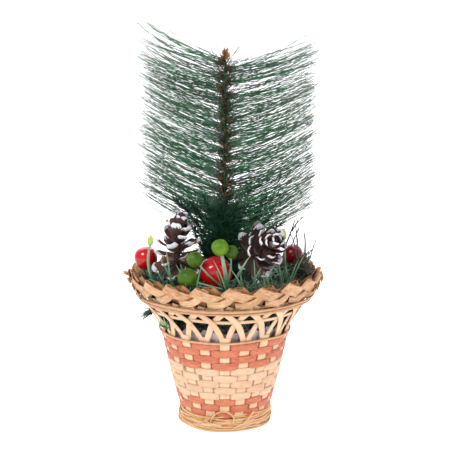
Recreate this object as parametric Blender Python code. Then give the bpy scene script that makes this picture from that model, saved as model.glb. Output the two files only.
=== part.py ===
"""Artificial tabletop pine in a woven splint basket.

The basket is a cage of flat stakes, woven with splint rows, flaring through an open lattice to a plaited
rim. A block of dry foam in a film liner fills it, and everything above is pushed into that foam on wires:
the pine spray, two pine cones, three red berries and four green balls. Lengths are in metres, +Z is up,
the front faces -Y, and the origin is the middle of the foot on the table.
"""

import math

import bmesh
import bpy
from mathutils import Matrix, Vector

MM = 0.001
TURN = 2 * math.pi

HOOP_SEGMENTS = 36
LINER_SEGMENTS = 24

# Clearances
GAP = 0.35 * MM  # between pieces that touch on the real object
HOOP_GAP = 0.55 * MM  # a hoop is a polygon, so it stands a little further off
HOLE_GAP = 0.35 * MM  # around a wire in its hole

# Basket: the wall is a straight taper to the waist, then a flare to the lip
STAKES = 20
STAKE_WIDTH = 6.4 * MM
SPLINT = 0.9 * MM  # thickness of stakes and lattice arms
FLOOR_Z = 2.0 * MM
HEEL_Z = 5.0 * MM
HEEL_RADIUS = 27.2 * MM
WAIST_Z = 63.6 * MM
WAIST_RADIUS = 40.4 * MM
LIP_Z = WAIST_Z + 23.6 * MM
LIP_RADIUS = 56.4 * MM
FLARE_POWER = 1.25
HEEL_BEND = 2.6 * MM

# Woven rows
ROWS = 12
LOWER_PINK_ROWS = 3
UPPER_PINK_ROWS = 4
ROWS_BASE_Z = 9.4 * MM
WEAVER = 0.8 * MM
WEAVE_SWING = SPLINT / 2 + GAP + WEAVER / 2

# Hoops and lattice
WAIST_HOOP_HEIGHT = 1.3 * MM
WAIST_HOOP = 1.0 * MM
LATTICE_HOOP_HEIGHT = 2.6 * MM
LATTICE_HOOP = 0.5 * MM
LATTICE_HOOP_Z = WAIST_Z + 0.64 * (LIP_Z - WAIST_Z)
ARM_WIDTH = 4.3 * MM
ARM_LAYER = LATTICE_HOOP / 2 + HOOP_GAP + SPLINT / 2
RIM_HOOP_HEIGHT = 3.8 * MM
RIM_HOOP = 1.0 * MM

# Plaited rim
PLAIT_STRANDS = 3
PLAIT_CYCLES = 7
PLAIT_STEPS = 8  # stations in one cycle
PLAIT_SWING = 5.3 * MM
PLAIT_DEPTH = 1.45 * MM
PLAIT_WIDTH = 4.2 * MM
PLAIT_SPLINT = 0.8 * MM
PLAIT_LEAN = math.radians(24)
PLAIT_LIFT = 7.9 * MM  # height of the plait's middle above the lip
PLAIT_RADIUS = LIP_RADIUS + PLAIT_LIFT * math.tan(PLAIT_LEAN) + 1.2 * MM

# Foot
FOOT_HEIGHT = 8.4 * MM
FOOT_WIDTH = 2.6 * MM
FOOT_INNER = HEEL_RADIUS + SPLINT / 2 + HOOP_GAP + 0.3 * MM
TWINE_WAVES = 8
TWINE_RISE = 3.0 * MM
TWINE_HEIGHT = 1.3 * MM
TWINE = 0.7 * MM

# Liner and foam
LINER = 0.6 * MM
LINER_TOP_Z = WAIST_Z + 8.4 * MM
LINER_LIP_RADIUS = WAIST_RADIUS + 2.2 * MM
FOAM_TOP_Z = LINER_TOP_Z + 4.0 * MM
FOAM_CHAMFER = 1.6 * MM

# Garland
GARLAND_Z = FOAM_TOP_Z + 11.5 * MM
GARLAND_RADIUS = (WAIST_RADIUS + LIP_RADIUS) / 2 - 3.0 * MM
GARLAND_THICK = 5.6 * MM
INNER_GARLAND_Z = FOAM_TOP_Z + 9.0 * MM
INNER_GARLAND_RADIUS = 17.5 * MM
INNER_GARLAND_THICK = 6.0 * MM

# Pine spray
STEM_RADIUS = 1.1 * MM
STEM_DEPTH = 0.62 * (FOAM_TOP_Z - FLOOR_Z)  # how far the stem goes into the foam
SLEEVE = 0.8 * MM
SPRAY_BASE_Z = FOAM_TOP_Z + 54.0 * MM
SPRAY_TOP_Z = 236.0 * MM
STEM_TOP_Z = SPRAY_TOP_Z + 4.0 * MM
SPRAY_LEVELS = 20
NEEDLE_LENGTH = 60.0 * MM
NEEDLE_RISE = math.radians(28)
SPRAY_TURN = math.radians(-15)  # the flat spray is turned a little about its stem
FAN_HALF_ANGLE = math.radians(12)
TIP_BUD_HEIGHT = 9.5 * MM
SKIRT_BASE_Z = INNER_GARLAND_Z + 8.0 * MM
SKIRT_TOP_Z = SPRAY_BASE_Z - 3.0 * MM
SKIRT_RADIUS = 10.5 * MM

# Picks: an ornament on a wire pushed into the foam
WIRE_RADIUS = 0.8 * MM
WIRE_DEPTH = 24.0 * MM
SOCKET_DEPTH = 3.0 * MM
CONE_HEIGHT = 40.0 * MM
CONE_REACH = 10.0 * MM  # length of the longest scales
CONE_SIDES = 8
CONE_NECK = 4.0 * MM  # from the wire's knee to the cone's base
KNOT_RADIUS = 2.3 * MM
KNOT_HEIGHT = 3.2 * MM

COLOURS = {
    "natural_splint": ((0.80, 0.60, 0.38), 0.60),
    "pink_splint": ((0.78, 0.32, 0.22), 0.60),
    "liner_film": ((0.45, 0.42, 0.47), 0.25),
    "dry_foam": ((0.33, 0.30, 0.27), 0.95),
    "garland_green": ((0.04, 0.14, 0.06), 0.50),
    "pine_green": ((0.03, 0.16, 0.08), 0.45),
    "stem_wire": ((0.05, 0.09, 0.04), 0.40),
    "bark_brown": ((0.42, 0.20, 0.07), 0.70),
    "cone_brown": ((0.13, 0.06, 0.04), 0.75),
    "berry_red": ((0.65, 0.01, 0.02), 0.12),
    "ball_green": ((0.22, 0.45, 0.03), 0.30),
    "bud_yellow": ((0.60, 0.68, 0.16), 0.45),
    "blade_green": ((0.14, 0.36, 0.14), 0.45),
}

# What stands in the foam. Places are (x, y, height above the foam) in mm for a lip of PLAN_LIP and a waist
# of PLAN_WAIST, and spread with them.
PLAN_LIP = 56.4 * MM
PLAN_WAIST = 40.4 * MM
SPREAD = LIP_RADIUS / PLAN_LIP
FOAM_SPREAD = WAIST_RADIUS / PLAN_WAIST / SPREAD
# Single berries: head's centre, entry into the foam (x, y), radius
BERRY_PICKS = {
    "left_berry": ((-51.3, -8.0, 33.8), (-35.5, -7.0), 8.0),
    "right_berry": ((44.7, 6.0, 33.7), (33.0, 4.5), 6.9),
}
# Cones: base, entry into the foam (x, y), and the way the cone points
CONE_PICKS = {
    "left_cone": ((-31.5, -21.0, 25.0), (-24.0, -15.5), (0.09, -0.05, 1.0)),
    "right_cone": ((13.0, -22.0, 35.0), (7.0, -11.0), (0.45, -0.76, 0.47)),
}
# Front pick: one stem that branches to a berry and four balls: centre, radius, bend on the way
FRONT_ENTRY = (0.5, -33.0)
FRONT_KNOT = (0.6, -47.5, 21.5)
FRONT_HEADS = {
    "front_berry": ((-5.6, -36.3, 30.2), 9.3, None),
    "side_ball": ((-18.6, -42.6, 39.6), 4.8, (-9.5, -50.0, 30.0)),
    "low_ball": ((-23.2, -43.5, 28.0), 6.0, None),
    "back_ball": ((3.9, -46.0, 45.0), 4.0, (3.6, -46.6, 28.0)),
    "top_ball": ((-3.0, -53.0, 49.0), 5.4, (-0.8, -52.0, 28.0)),
}
# Bud blades: path from root to tip, width, then the bud's radius and height
BUD_BLADES = {
    "left_bud": (
        ((-41.0, -27.5, 17.6), (-46.5, -36.0, 23.6), (-46.2, -38.4, 36.0), (-45.5, -45.5, 49.0)),
        2.2,
        2.6,
        7.0,
    ),
    "right_bud": (((38.6, -12.5, 17.6), (38.9, -6.5, 34.0), (38.4, -3.0, 45.0)), 2.0, 2.2, 7.6),
}
# Grass tufts: root, then the tips of the blades
GRASS_TUFTS = {
    "front_grass_tuft": (
        (8.5, -44.5, 17.6),
        ((17.0, -51.0, 41.0), (22.5, -46.0, 32.0), (9.6, -52.5, 33.0)),
    ),
    "left_grass_tuft": (
        (-33.0, -36.0, 17.6),
        ((-39.0, -44.5, 36.0), (-30.5, -49.0, 31.0), (-42.0, -42.5, 28.0)),
    ),
    "right_grass_tuft": (
        (42.0, -17.0, 17.6),
        ((52.0, -18.0, 42.0), (46.0, -26.5, 36.0), (50.5, -7.0, 32.0)),
    ),
}


def remove_startup_objects():
    for obj in list(bpy.data.objects):
        bpy.data.objects.remove(obj, do_unlink=True)


def material(name):
    """The named finish, made the first time it is asked for."""
    found = bpy.data.materials.get(name)
    if found:
        return found
    (red, green, blue), roughness = COLOURS[name]
    made = bpy.data.materials.new(name)
    made.use_nodes = True
    shader = made.node_tree.nodes["Principled BSDF"]
    shader.inputs["Base Color"].default_value = (red, green, blue, 1.0)
    shader.inputs["Roughness"].default_value = roughness
    shader.inputs["Metallic"].default_value = 0.0
    made.diffuse_color = (red, green, blue, 1.0)
    return made


def add_mesh(name, bm, finish, parent=None, smooth=False):
    """Turns a bmesh into a named object whose faces point out."""
    bmesh.ops.recalc_face_normals(bm, faces=bm.faces[:])
    mesh = bpy.data.meshes.new(name)
    bm.to_mesh(mesh)
    bm.free()
    if smooth:
        mesh.shade_smooth()
        mesh.set_sharp_from_angle(angle=math.radians(40))
    mesh.materials.append(material(finish))
    obj = bpy.data.objects.new(name, mesh)
    bpy.context.scene.collection.objects.link(obj)
    obj.parent = parent
    return obj


def place(spot):
    """A point from (x, y, height above the foam) in mm."""
    x, y, height = spot
    return Vector((x * SPREAD * MM, y * SPREAD * MM, FOAM_TOP_Z + height * MM))


def radial(angle):
    return Vector((math.cos(angle), math.sin(angle), 0.0))


def tangent(angle):
    return Vector((-math.sin(angle), math.cos(angle), 0.0))


def bridge(bm, ring_a, ring_b):
    """Quads between two rings of as many vertices."""
    count = len(ring_a)
    for i in range(count):
        j = (i + 1) % count
        bm.faces.new((ring_a[i], ring_a[j], ring_b[j], ring_b[i]))


def add_ring(bm, points):
    return [bm.verts.new(point) for point in points]


def closed_sweep(rings):
    """A loop of rings of points, joined end to end."""
    bm = bmesh.new()
    made = [add_ring(bm, ring) for ring in rings]
    for i, ring in enumerate(made):
        bridge(bm, ring, made[(i + 1) % len(made)])
    return bm


def open_sweep(rings):
    """Rings of points joined in a row, with a cap on each end."""
    bm = bmesh.new()
    made = [add_ring(bm, ring) for ring in rings]
    for ring_a, ring_b in zip(made, made[1:]):
        bridge(bm, ring_a, ring_b)
    bm.faces.new(made[0])
    bm.faces.new(made[-1])
    return bm


def lathe(profile, segments):
    """A solid turned about Z from (radius, height) points. Points on the axis become poles; a profile
    with none is a closed section, and makes a ring."""
    bm = bmesh.new()
    columns = []
    poles = {i: bm.verts.new((0, 0, z)) for i, (r, z) in enumerate(profile) if r == 0}
    for s in range(segments):
        direction = radial(TURN * s / segments)
        column = [
            poles.get(i) or bm.verts.new(direction * r + Vector((0, 0, z)))
            for i, (r, z) in enumerate(profile)
        ]
        columns.append(column)
    steps = len(profile) - 1 if poles else len(profile)
    for s, column in enumerate(columns):
        following = columns[(s + 1) % segments]
        for i in range(steps):
            j = (i + 1) % len(profile)
            corners = []
            for vert in (column[i], column[j], following[j], following[i]):
                if vert not in corners:
                    corners.append(vert)
            if len(corners) > 2:
                bm.faces.new(corners)
    return bm


def sprout(bm, face, stops, across):
    """Grows a face into a limb through stops, each (centre, share across, share along) of its own size.
    Every section stands square to the limb's direction there."""
    before = face.calc_center_median()
    along = face.normal.cross(across)
    shape = [((v.co - before).dot(across), (v.co - before).dot(along)) for v in face.verts]
    for centre, wide, tall in stops:
        rise = (centre - before).normalized().cross(across).normalized()
        face = bmesh.ops.extrude_discrete_faces(bm, faces=[face])["faces"][0]
        for vert, (side, up) in zip(face.verts, shape):
            vert.co = centre + across * side * wide + rise * up * tall
        before = centre


def tube(path, radius, sides):
    """A round rod along a path with one knee or none, mitred at the knee."""
    ways = [(b - a).normalized() for a, b in zip(path, path[1:])]
    across = ways[0].cross(ways[-1])
    across = across.normalized() if across.length > 0.001 else ways[0].orthogonal().normalized()
    rings = []
    for i, point in enumerate(path):
        way = (ways[max(i - 1, 0)] + ways[min(i, len(ways) - 1)]).normalized()
        rise = way.cross(across) / way.dot(ways[min(i, len(ways) - 1)])
        turns = [TURN * s / sides for s in range(sides)]
        rings.append([point + (across * math.cos(t) + rise * math.sin(t)) * radius for t in turns])
    return open_sweep(rings)


# ---------------------------------------------------------------------------------------------- basket


def wall_radius(z):
    """Distance from the axis to the middle of the stakes at a height."""
    if z <= WAIST_Z:
        share = (z - HEEL_Z) / (WAIST_Z - HEEL_Z)
        return HEEL_RADIUS + (WAIST_RADIUS - HEEL_RADIUS) * share
    share = (z - WAIST_Z) / (LIP_Z - WAIST_Z)
    return WAIST_RADIUS + (LIP_RADIUS - WAIST_RADIUS) * share**FLARE_POWER


def stake_stations():
    """(radius, height, inward normal as radius and height) along a stake from the floor to the waist."""
    taper = math.atan2(WAIST_RADIUS - HEEL_RADIUS, WAIST_Z - HEEL_Z)
    wall_normal = (-math.cos(taper), math.sin(taper))
    hub = STAKE_WIDTH / 2 / math.tan(math.pi / STAKES)
    return (
        (hub, FLOOR_Z, (0.0, 1.0)),
        (HEEL_RADIUS - HEEL_BEND, FLOOR_Z, (0.0, 1.0)),
        (wall_radius(HEEL_Z - 1.6 * MM), HEEL_Z - 1.9 * MM, (-0.64, 0.77)),
        (wall_radius(HEEL_Z), HEEL_Z, wall_normal),
        (WAIST_RADIUS, WAIST_Z, wall_normal),
    )


def arm_stations():
    """(share of one stake spacing moved sideways, height, share of the full layer offset) up a lattice
    arm. The arms rise steeply at first and flatten near the lip."""
    rise = LIP_Z - WAIST_Z
    return (
        (0.22, WAIST_Z + 0.26 * rise, 1.0),
        (0.50, WAIST_Z + 0.58 * rise, 1.0),
        (1.00, WAIST_Z + 0.84 * rise, 1.0),
        (1.30, WAIST_Z + 1.00 * rise, 1.0),
    )


def make_stake_cage():
    """Twenty strips that cross at the floor, stand up as stakes and split into two arms at the waist."""
    bm = bmesh.new()
    spacing = TURN / STAKES
    floor_in, floor_out = [], []
    stations = stake_stations()

    def stake_ring(angle, station):
        radius, z, (normal_r, normal_z) = station
        out, side = radial(angle), tangent(angle)
        middle = out * radius + Vector((0, 0, z))
        inward = out * normal_r + Vector((0, 0, normal_z))
        half = SPLINT / 2
        inner = [middle + inward * half + side * x for x in (-STAKE_WIDTH / 2, 0, STAKE_WIDTH / 2)]
        outer = [middle - inward * half + side * x for x in (STAKE_WIDTH / 2, 0, -STAKE_WIDTH / 2)]
        return inner + outer

    first_rings = []
    for k in range(STAKES):
        points = stake_ring(k * spacing, stations[0])
        corner_in, corner_out = bm.verts.new(points[0]), bm.verts.new(points[5])
        middle_in, middle_out = bm.verts.new(points[1]), bm.verts.new(points[4])
        first_rings.append((corner_in, middle_in, middle_out, corner_out))
        floor_in += [corner_in, middle_in]
        floor_out += [corner_out, middle_out]
    bm.faces.new(floor_in)
    bm.faces.new(floor_out)

    for k in range(STAKES):
        angle = k * spacing
        corner_in, middle_in, middle_out, corner_out = first_rings[k]
        next_in, _, _, next_out = first_rings[(k + 1) % STAKES]
        ring = [corner_in, middle_in, next_in, next_out, middle_out, corner_out]
        for station in stations[1:]:
            following = add_ring(bm, stake_ring(angle, station))
            bridge(bm, ring, following)
            ring = following
        add_arm(bm, angle, [ring[0], ring[1], ring[4], ring[5]], -1)
        add_arm(bm, angle, [ring[1], ring[2], ring[3], ring[4]], 1)
    return add_mesh("stake_cage", bm, "natural_splint")


def add_arm(bm, angle, ring, lean):
    """One lattice arm. Those leaning one way (-1) run outside those leaning the other (+1)."""
    for share, z, layer in arm_stations():
        at = angle + lean * share * TURN / STAKES
        out, side = radial(at), tangent(at)
        middle = out * (wall_radius(z) - lean * layer * ARM_LAYER) + Vector((0, 0, z))
        corners = (
            middle - out * SPLINT / 2 - side * ARM_WIDTH / 2,
            middle - out * SPLINT / 2 + side * ARM_WIDTH / 2,
            middle + out * SPLINT / 2 + side * ARM_WIDTH / 2,
            middle + out * SPLINT / 2 - side * ARM_WIDTH / 2,
        )
        following = add_ring(bm, corners)
        bridge(bm, ring, following)
        ring = following
    bm.faces.new(ring)


def make_weaver(row):
    """A splint that passes outside one stake and inside the next, flat over each stake."""
    top_of_rows = WAIST_Z - WAIST_HOOP_HEIGHT - 2 * GAP
    pitch = (top_of_rows - ROWS_BASE_Z) / ROWS
    low = ROWS_BASE_Z + row * pitch
    high = low + pitch - GAP
    flat = math.atan2(STAKE_WIDTH / 2 + GAP + 0.3 * MM, wall_radius(low))
    rings = []
    for k in range(STAKES):
        swing = WEAVE_SWING if (k + row) % 2 else -WEAVE_SWING
        for side in (-flat, flat):
            out = radial(k * TURN / STAKES + side)
            ring = []
            for z, half in ((low, -WEAVER), (high, -WEAVER), (high, WEAVER), (low, WEAVER)):
                radius = (wall_radius(z) + swing + half / 2) / math.cos(flat)
                ring.append(out * radius + Vector((0, 0, z)))
            rings.append(ring)
    pink = row < LOWER_PINK_ROWS or row >= ROWS - UPPER_PINK_ROWS
    finish = "pink_splint" if pink else "natural_splint"
    return add_mesh(f"weaver_row_{row + 1:02d}", closed_sweep(rings), finish)


def make_hoop(name, low, high, offset, thickness, finish="natural_splint"):
    """A plain hoop that leans with the wall, standing off its middle by an offset."""
    profile = []
    for z, half in ((low, -0.5), (high, -0.5), (high, 0.5), (low, 0.5)):
        profile.append((wall_radius(z) + offset + half * thickness, z))
    return add_mesh(name, lathe(profile, HOOP_SEGMENTS), finish, smooth=True)


def make_hoops():
    waist_top = WAIST_Z - GAP
    outside = SPLINT / 2 + HOOP_GAP + WAIST_HOOP / 2
    make_hoop("waist_hoop", waist_top - WAIST_HOOP_HEIGHT, waist_top, outside, WAIST_HOOP)
    lattice_low = LATTICE_HOOP_Z - LATTICE_HOOP_HEIGHT / 2
    make_hoop("lattice_hoop", lattice_low, lattice_low + LATTICE_HOOP_HEIGHT, 0, LATTICE_HOOP)
    clamp = ARM_LAYER + SPLINT / 2 + HOOP_GAP + RIM_HOOP / 2
    low, high = LIP_Z - GAP - RIM_HOOP_HEIGHT, LIP_Z - GAP
    make_hoop("rim_hoop_outer", low, high, clamp, RIM_HOOP)
    make_hoop("rim_hoop_inner", low, high, -clamp, RIM_HOOP)


def make_plait_strand(number):
    """One strand of the flat three-strand plait that leans outward round the rim."""
    steps = PLAIT_CYCLES * PLAIT_STEPS
    up_r, up_z = math.sin(PLAIT_LEAN), math.cos(PLAIT_LEAN)
    middle_z = LIP_Z + PLAIT_LIFT
    rings = []
    for i in range(steps):
        angle = TURN * i / steps
        phase = PLAIT_CYCLES * angle + number * TURN / PLAIT_STRANDS
        swing = PLAIT_SWING * math.sin(phase)
        depth = -PLAIT_DEPTH * math.sin(2 * phase)
        slant = math.atan2(PLAIT_CYCLES * PLAIT_SWING * math.cos(phase), PLAIT_RADIUS)
        out, side = radial(angle), tangent(angle)
        up = out * up_r + Vector((0, 0, up_z))
        face = out * up_z - Vector((0, 0, up_r))
        middle = out * PLAIT_RADIUS + Vector((0, 0, middle_z)) + up * swing + face * depth
        across = up * math.cos(slant) - side * math.sin(slant)
        ring = []
        for x, y in ((-1, -1), (1, -1), (1, 1), (-1, 1)):
            ring.append(middle + across * x * PLAIT_WIDTH / 2 + face * y * PLAIT_SPLINT / 2)
        rings.append(ring)
    name = f"rim_plait_strand_{number + 1}"
    return add_mesh(name, closed_sweep(rings), "natural_splint")


def make_foot():
    outer = FOOT_INNER + FOOT_WIDTH
    profile = (
        (FOOT_INNER, 0.0),
        (outer - 0.4 * MM, 0.0),
        (outer, 1.6 * MM),
        (outer, FOOT_HEIGHT - 1.4 * MM),
        (outer - 0.8 * MM, FOOT_HEIGHT),
        (FOOT_INNER + 0.5 * MM, FOOT_HEIGHT),
    )
    add_mesh("foot_ring", lathe(profile, HOOP_SEGMENTS), "natural_splint", smooth=True)
    radius = outer + HOOP_GAP + TWINE / 2
    steps = 6 * TWINE_WAVES
    rings = []
    for i in range(steps):
        out = radial(TURN * i / steps)
        z = FOOT_HEIGHT / 2 + TWINE_RISE * math.sin(TWINE_WAVES * TURN * i / steps)
        ring = []
        for x, y in ((-1, -1), (-1, 1), (1, 1), (1, -1)):
            offset = Vector((0, 0, z + y * TWINE_HEIGHT / 2))
            ring.append(out * (radius + x * TWINE / 2) + offset)
        rings.append(ring)
    add_mesh("foot_twine", closed_sweep(rings), "natural_splint")


# --------------------------------------------------------------------------------------- liner and foam


def liner_outer(z):
    """Radius of the liner's outside: clear of the woven rows, then straight to its own lip."""
    waist = WAIST_RADIUS - WEAVE_SWING - WEAVER / 2 - HOOP_GAP
    if z <= WAIST_Z:
        return wall_radius(z) - WAIST_RADIUS + waist
    share = (z - WAIST_Z) / (LINER_TOP_Z - WAIST_Z)
    return waist + (LINER_LIP_RADIUS - waist) * share


def make_liner():
    base = FLOOR_Z + SPLINT / 2 + GAP
    heel = HEEL_RADIUS - HEEL_BEND - HOOP_GAP
    profile = (
        (0, base),
        (heel - 1.0 * MM, base),
        (liner_outer(ROWS_BASE_Z), ROWS_BASE_Z),
        (liner_outer(WAIST_Z), WAIST_Z),
        (LINER_LIP_RADIUS, LINER_TOP_Z),
        (LINER_LIP_RADIUS - LINER, LINER_TOP_Z),
        (liner_outer(WAIST_Z) - LINER, WAIST_Z),
        (liner_outer(ROWS_BASE_Z) - LINER, ROWS_BASE_Z),
        (heel - 1.0 * MM - LINER, base + LINER),
        (0, base + LINER),
    )
    add_mesh("basket_liner", lathe(profile, LINER_SEGMENTS), "liner_film", smooth=True)
    return base + LINER


def make_foam(base, cutter):
    inset = LINER + HOOP_GAP
    profile = (
        (0, base + GAP),
        (HEEL_RADIUS - HEEL_BEND - 3.2 * MM, base + GAP),
        (liner_outer(ROWS_BASE_Z) - inset, ROWS_BASE_Z),
        (liner_outer(WAIST_Z) - inset, WAIST_Z),
        (LINER_LIP_RADIUS - inset, LINER_TOP_Z),
        (LINER_LIP_RADIUS - inset, FOAM_TOP_Z - FOAM_CHAMFER),
        (LINER_LIP_RADIUS - inset - FOAM_CHAMFER, FOAM_TOP_Z),
        (0, FOAM_TOP_Z),
    )
    foam = add_mesh("foam_block", lathe(profile, LINER_SEGMENTS), "dry_foam")
    cut(foam, cutter)


def cut(obj, cutter):
    boolean = obj.modifiers.new("pick holes", "BOOLEAN")
    boolean.operation = "DIFFERENCE"
    boolean.solver = "EXACT"
    boolean.object = cutter


def make_garland(name, radius, z, thick, cutter):
    """A loop of garland, left as its plain outer volume."""
    profile = []
    for i in range(6):
        turn = TURN * i / 6
        profile.append((radius + thick * math.cos(turn), z + thick * math.sin(turn)))
    loop = add_mesh(name, lathe(profile, 24), "garland_green", smooth=True)
    cut(loop, cutter)


# ------------------------------------------------------------------------------------------------ picks


def pick_frame(name, entry, head):
    """An empty at the pick's entry into the foam with its Z axis along the wire, and the length from
    there to the head."""
    start = place((entry[0] * FOAM_SPREAD, entry[1] * FOAM_SPREAD, 0.0))
    way = head - start
    empty = bpy.data.objects.new(name, None)
    bpy.context.scene.collection.objects.link(empty)
    empty.location = start
    empty.rotation_mode = "QUATERNION"
    empty.rotation_quaternion = way.to_track_quat("Z", "Y")
    bpy.context.view_layer.update()
    return empty, way.length


def ball_profile(radius):
    """A round ball from its top to its foot."""
    points = [(0, radius)]
    for i in range(1, 7):
        lift = math.pi / 2 - math.pi * i / 7
        points.append((radius * math.cos(lift), radius * math.sin(lift)))
    points.append((0, -radius))
    return points


def berry_profile(radius):
    """An apple shape: full shoulders, a narrower base and a dimple on top."""
    return [
        (0, 0.80 * radius),
        (0.30 * radius, 0.98 * radius),
        (0.68 * radius, 0.80 * radius),
        (0.95 * radius, 0.34 * radius),
        (0.99 * radius, -0.08 * radius),
        (0.82 * radius, -0.58 * radius),
        (0.48 * radius, -0.92 * radius),
    ]


def make_berry_pick(name, head, entry, radius):
    """A berry with a socket underneath that takes the wire."""
    empty, reach = pick_frame(f"{name}_pick", entry, place(head))
    base = -0.98 * radius
    socket = WIRE_RADIUS + HOLE_GAP
    hole = [(socket, base), (socket, base + SOCKET_DEPTH), (0, base + SOCKET_DEPTH)]
    berry = add_mesh(name, lathe(berry_profile(radius) + hole, 12), "berry_red", empty, smooth=True)
    berry.location = (0, 0, reach)
    wire_top = reach + base + SOCKET_DEPTH - GAP
    wire = tube([Vector((0, 0, -WIRE_DEPTH)), Vector((0, 0, wire_top))], WIRE_RADIUS, 8)
    add_mesh(f"{name}_wire", wire, "stem_wire", empty, smooth=True)
    return empty, wire_top - SOCKET_DEPTH


def cone_core(share):
    """Radius of the cone's core at a share of its height."""
    return (2.4 + 3.4 * math.sin(math.pi * min(1.0, share + 0.22)) ** 0.8) * MM


def make_cone(name):
    """An open pine cone: a core whose faces grow into scales, drooping at the base and upright on top."""
    rows = 7
    socket = WIRE_RADIUS + HOLE_GAP
    profile = [(0, SOCKET_DEPTH), (socket, SOCKET_DEPTH), (socket, 0.0)]
    for row in range(rows):
        share = row / (rows - 0.4)
        profile.append((cone_core(share), share * CONE_HEIGHT * 0.94))
    profile.append((0, CONE_HEIGHT))
    bm = lathe(profile, CONE_SIDES)
    bmesh.ops.recalc_face_normals(bm, faces=bm.faces[:])
    bm.normal_update()
    chosen = []
    for face in bm.faces:
        centre = face.calc_center_median()
        sector = int((math.atan2(centre.y, centre.x) % TURN) / TURN * CONE_SIDES)
        row = round(centre.z / (CONE_HEIGHT * 0.94) * (rows - 0.4) - 0.5)
        on_core = math.hypot(centre.x, centre.y) > socket * 1.6 and len(face.verts) == 4
        if on_core and 0 <= row < rows - 1 and (sector + row) % 2 == 0:
            chosen.append((face, centre, row))
    up = Vector((0, 0, 1))
    for face, centre, row in chosen:
        out = Vector((centre.x, centre.y, 0)).normalized()
        side = up.cross(out)
        lift = math.radians(-4 + 13 * row)
        reach = CONE_REACH * (1.0, 1.0, 0.92, 0.8, 0.64, 0.46)[row]
        way = out * math.cos(lift) + up * math.sin(lift)
        stops = (
            (centre + way * reach * 0.45, 1.2, 0.22),
            (centre + way * reach + up * 0.8 * MM, 1.5, 0.14),
        )
        sprout(bm, face, stops, side)
    return add_mesh(name, bm, "cone_brown")


def make_cone_pick(name, base, entry, pointing):
    """A cone on a wire with a knee, so that the cone need not point the way its wire does."""
    base = place(base)
    pointing = Vector(pointing).normalized()
    knee = base - pointing * CONE_NECK
    empty, reach = pick_frame(f"{name}_pick", entry, knee)
    to_pick = empty.matrix_world.inverted()
    cone = make_cone(name)
    cone.parent = empty
    turn = pointing.to_track_quat("Z", "Y").to_matrix().to_4x4()
    cone.matrix_basis = to_pick @ Matrix.Translation(base) @ turn
    end = to_pick @ (base + pointing * (SOCKET_DEPTH - GAP))
    path = [Vector((0, 0, -WIRE_DEPTH)), Vector((0, 0, reach)), end]
    add_mesh(f"{name}_wire", tube(path, WIRE_RADIUS, 8), "stem_wire", empty, smooth=True)
    return empty, reach


def make_front_pick():
    """A stem with a knot of wire on its end, from which thin branches go to a berry and four balls."""
    empty, reach = pick_frame("front_pick", FRONT_ENTRY, place(FRONT_KNOT))
    to_pick = empty.matrix_world.inverted()
    foot = reach - KNOT_HEIGHT / 2
    profile = (
        (0, -WIRE_DEPTH),
        (WIRE_RADIUS, -WIRE_DEPTH),
        (WIRE_RADIUS, foot),
        (KNOT_RADIUS, foot + 0.8 * MM),
        (KNOT_RADIUS, foot + KNOT_HEIGHT),
        (0, foot + KNOT_HEIGHT + 0.6 * MM),
    )
    bm = lathe(profile, 8)
    bmesh.ops.recalc_face_normals(bm, faces=bm.faces[:])
    bm.normal_update()
    walls = []
    for face in bm.faces:
        height = face.calc_center_median().z - foot
        if abs(height - 2 * MM) < MM and len(face.verts) == 4:
            walls.append(face)
    for name, (centre, radius, bend) in FRONT_HEADS.items():
        middle = to_pick @ place(centre)
        radius = radius * MM
        last = to_pick @ place(bend) if bend else Vector((0, 0, reach))
        end = middle + (last - middle).normalized() * (radius + GAP)
        aim = (last if bend else end) - Vector((0, 0, reach))
        face = max(walls, key=lambda f: f.normal.dot(aim))
        walls.remove(face)
        root = face.calc_center_median() + face.normal * 0.8 * MM
        stops = [(root, 0.6, 0.4)]
        if bend:
            stops.append((last, 0.5, 0.34))
        stops.append((end, 0.5, 0.34))
        sprout(bm, face, stops, Vector((0, 0, 1)).cross(face.normal).normalized())
        berry = name.endswith("berry")
        shape = berry_profile(radius) + [(0, -0.98 * radius)] if berry else ball_profile(radius)
        head = add_mesh(name, lathe(shape, 12), "berry_red" if berry else "ball_green", empty, smooth=True)
        head.location = middle
    add_mesh("front_pick_stem", bm, "stem_wire", empty)
    return empty, foot


def make_hole_cutter(holes):
    """One helper that holds every wire's hole, as separate cylinders."""
    bm = bmesh.new()
    for matrix, radius, depth, top in holes:
        low = Vector((0, 0, -depth))
        length = top + depth
        made = bmesh.ops.create_cone(
            bm, cap_ends=True, segments=8, radius1=radius, radius2=radius, depth=length
        )
        bmesh.ops.translate(bm, verts=made["verts"], vec=low + Vector((0, 0, length / 2)))
        bmesh.ops.transform(bm, verts=made["verts"], matrix=matrix)
    cutter = add_mesh("pick_holes", bm, "dry_foam")
    cutter.hide_render = True
    cutter.display_type = "WIRE"
    return cutter


# ----------------------------------------------------------------------------------------- pine spray


def make_stem(parent):
    base = FOAM_TOP_Z - STEM_DEPTH
    profile = (
        (0, base),
        (STEM_RADIUS, base + 2 * STEM_RADIUS),
        (STEM_RADIUS, STEM_TOP_Z),
        (0, STEM_TOP_Z),
    )
    add_mesh("pine_stem", lathe(profile, 10), "stem_wire", parent, smooth=True)


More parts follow.
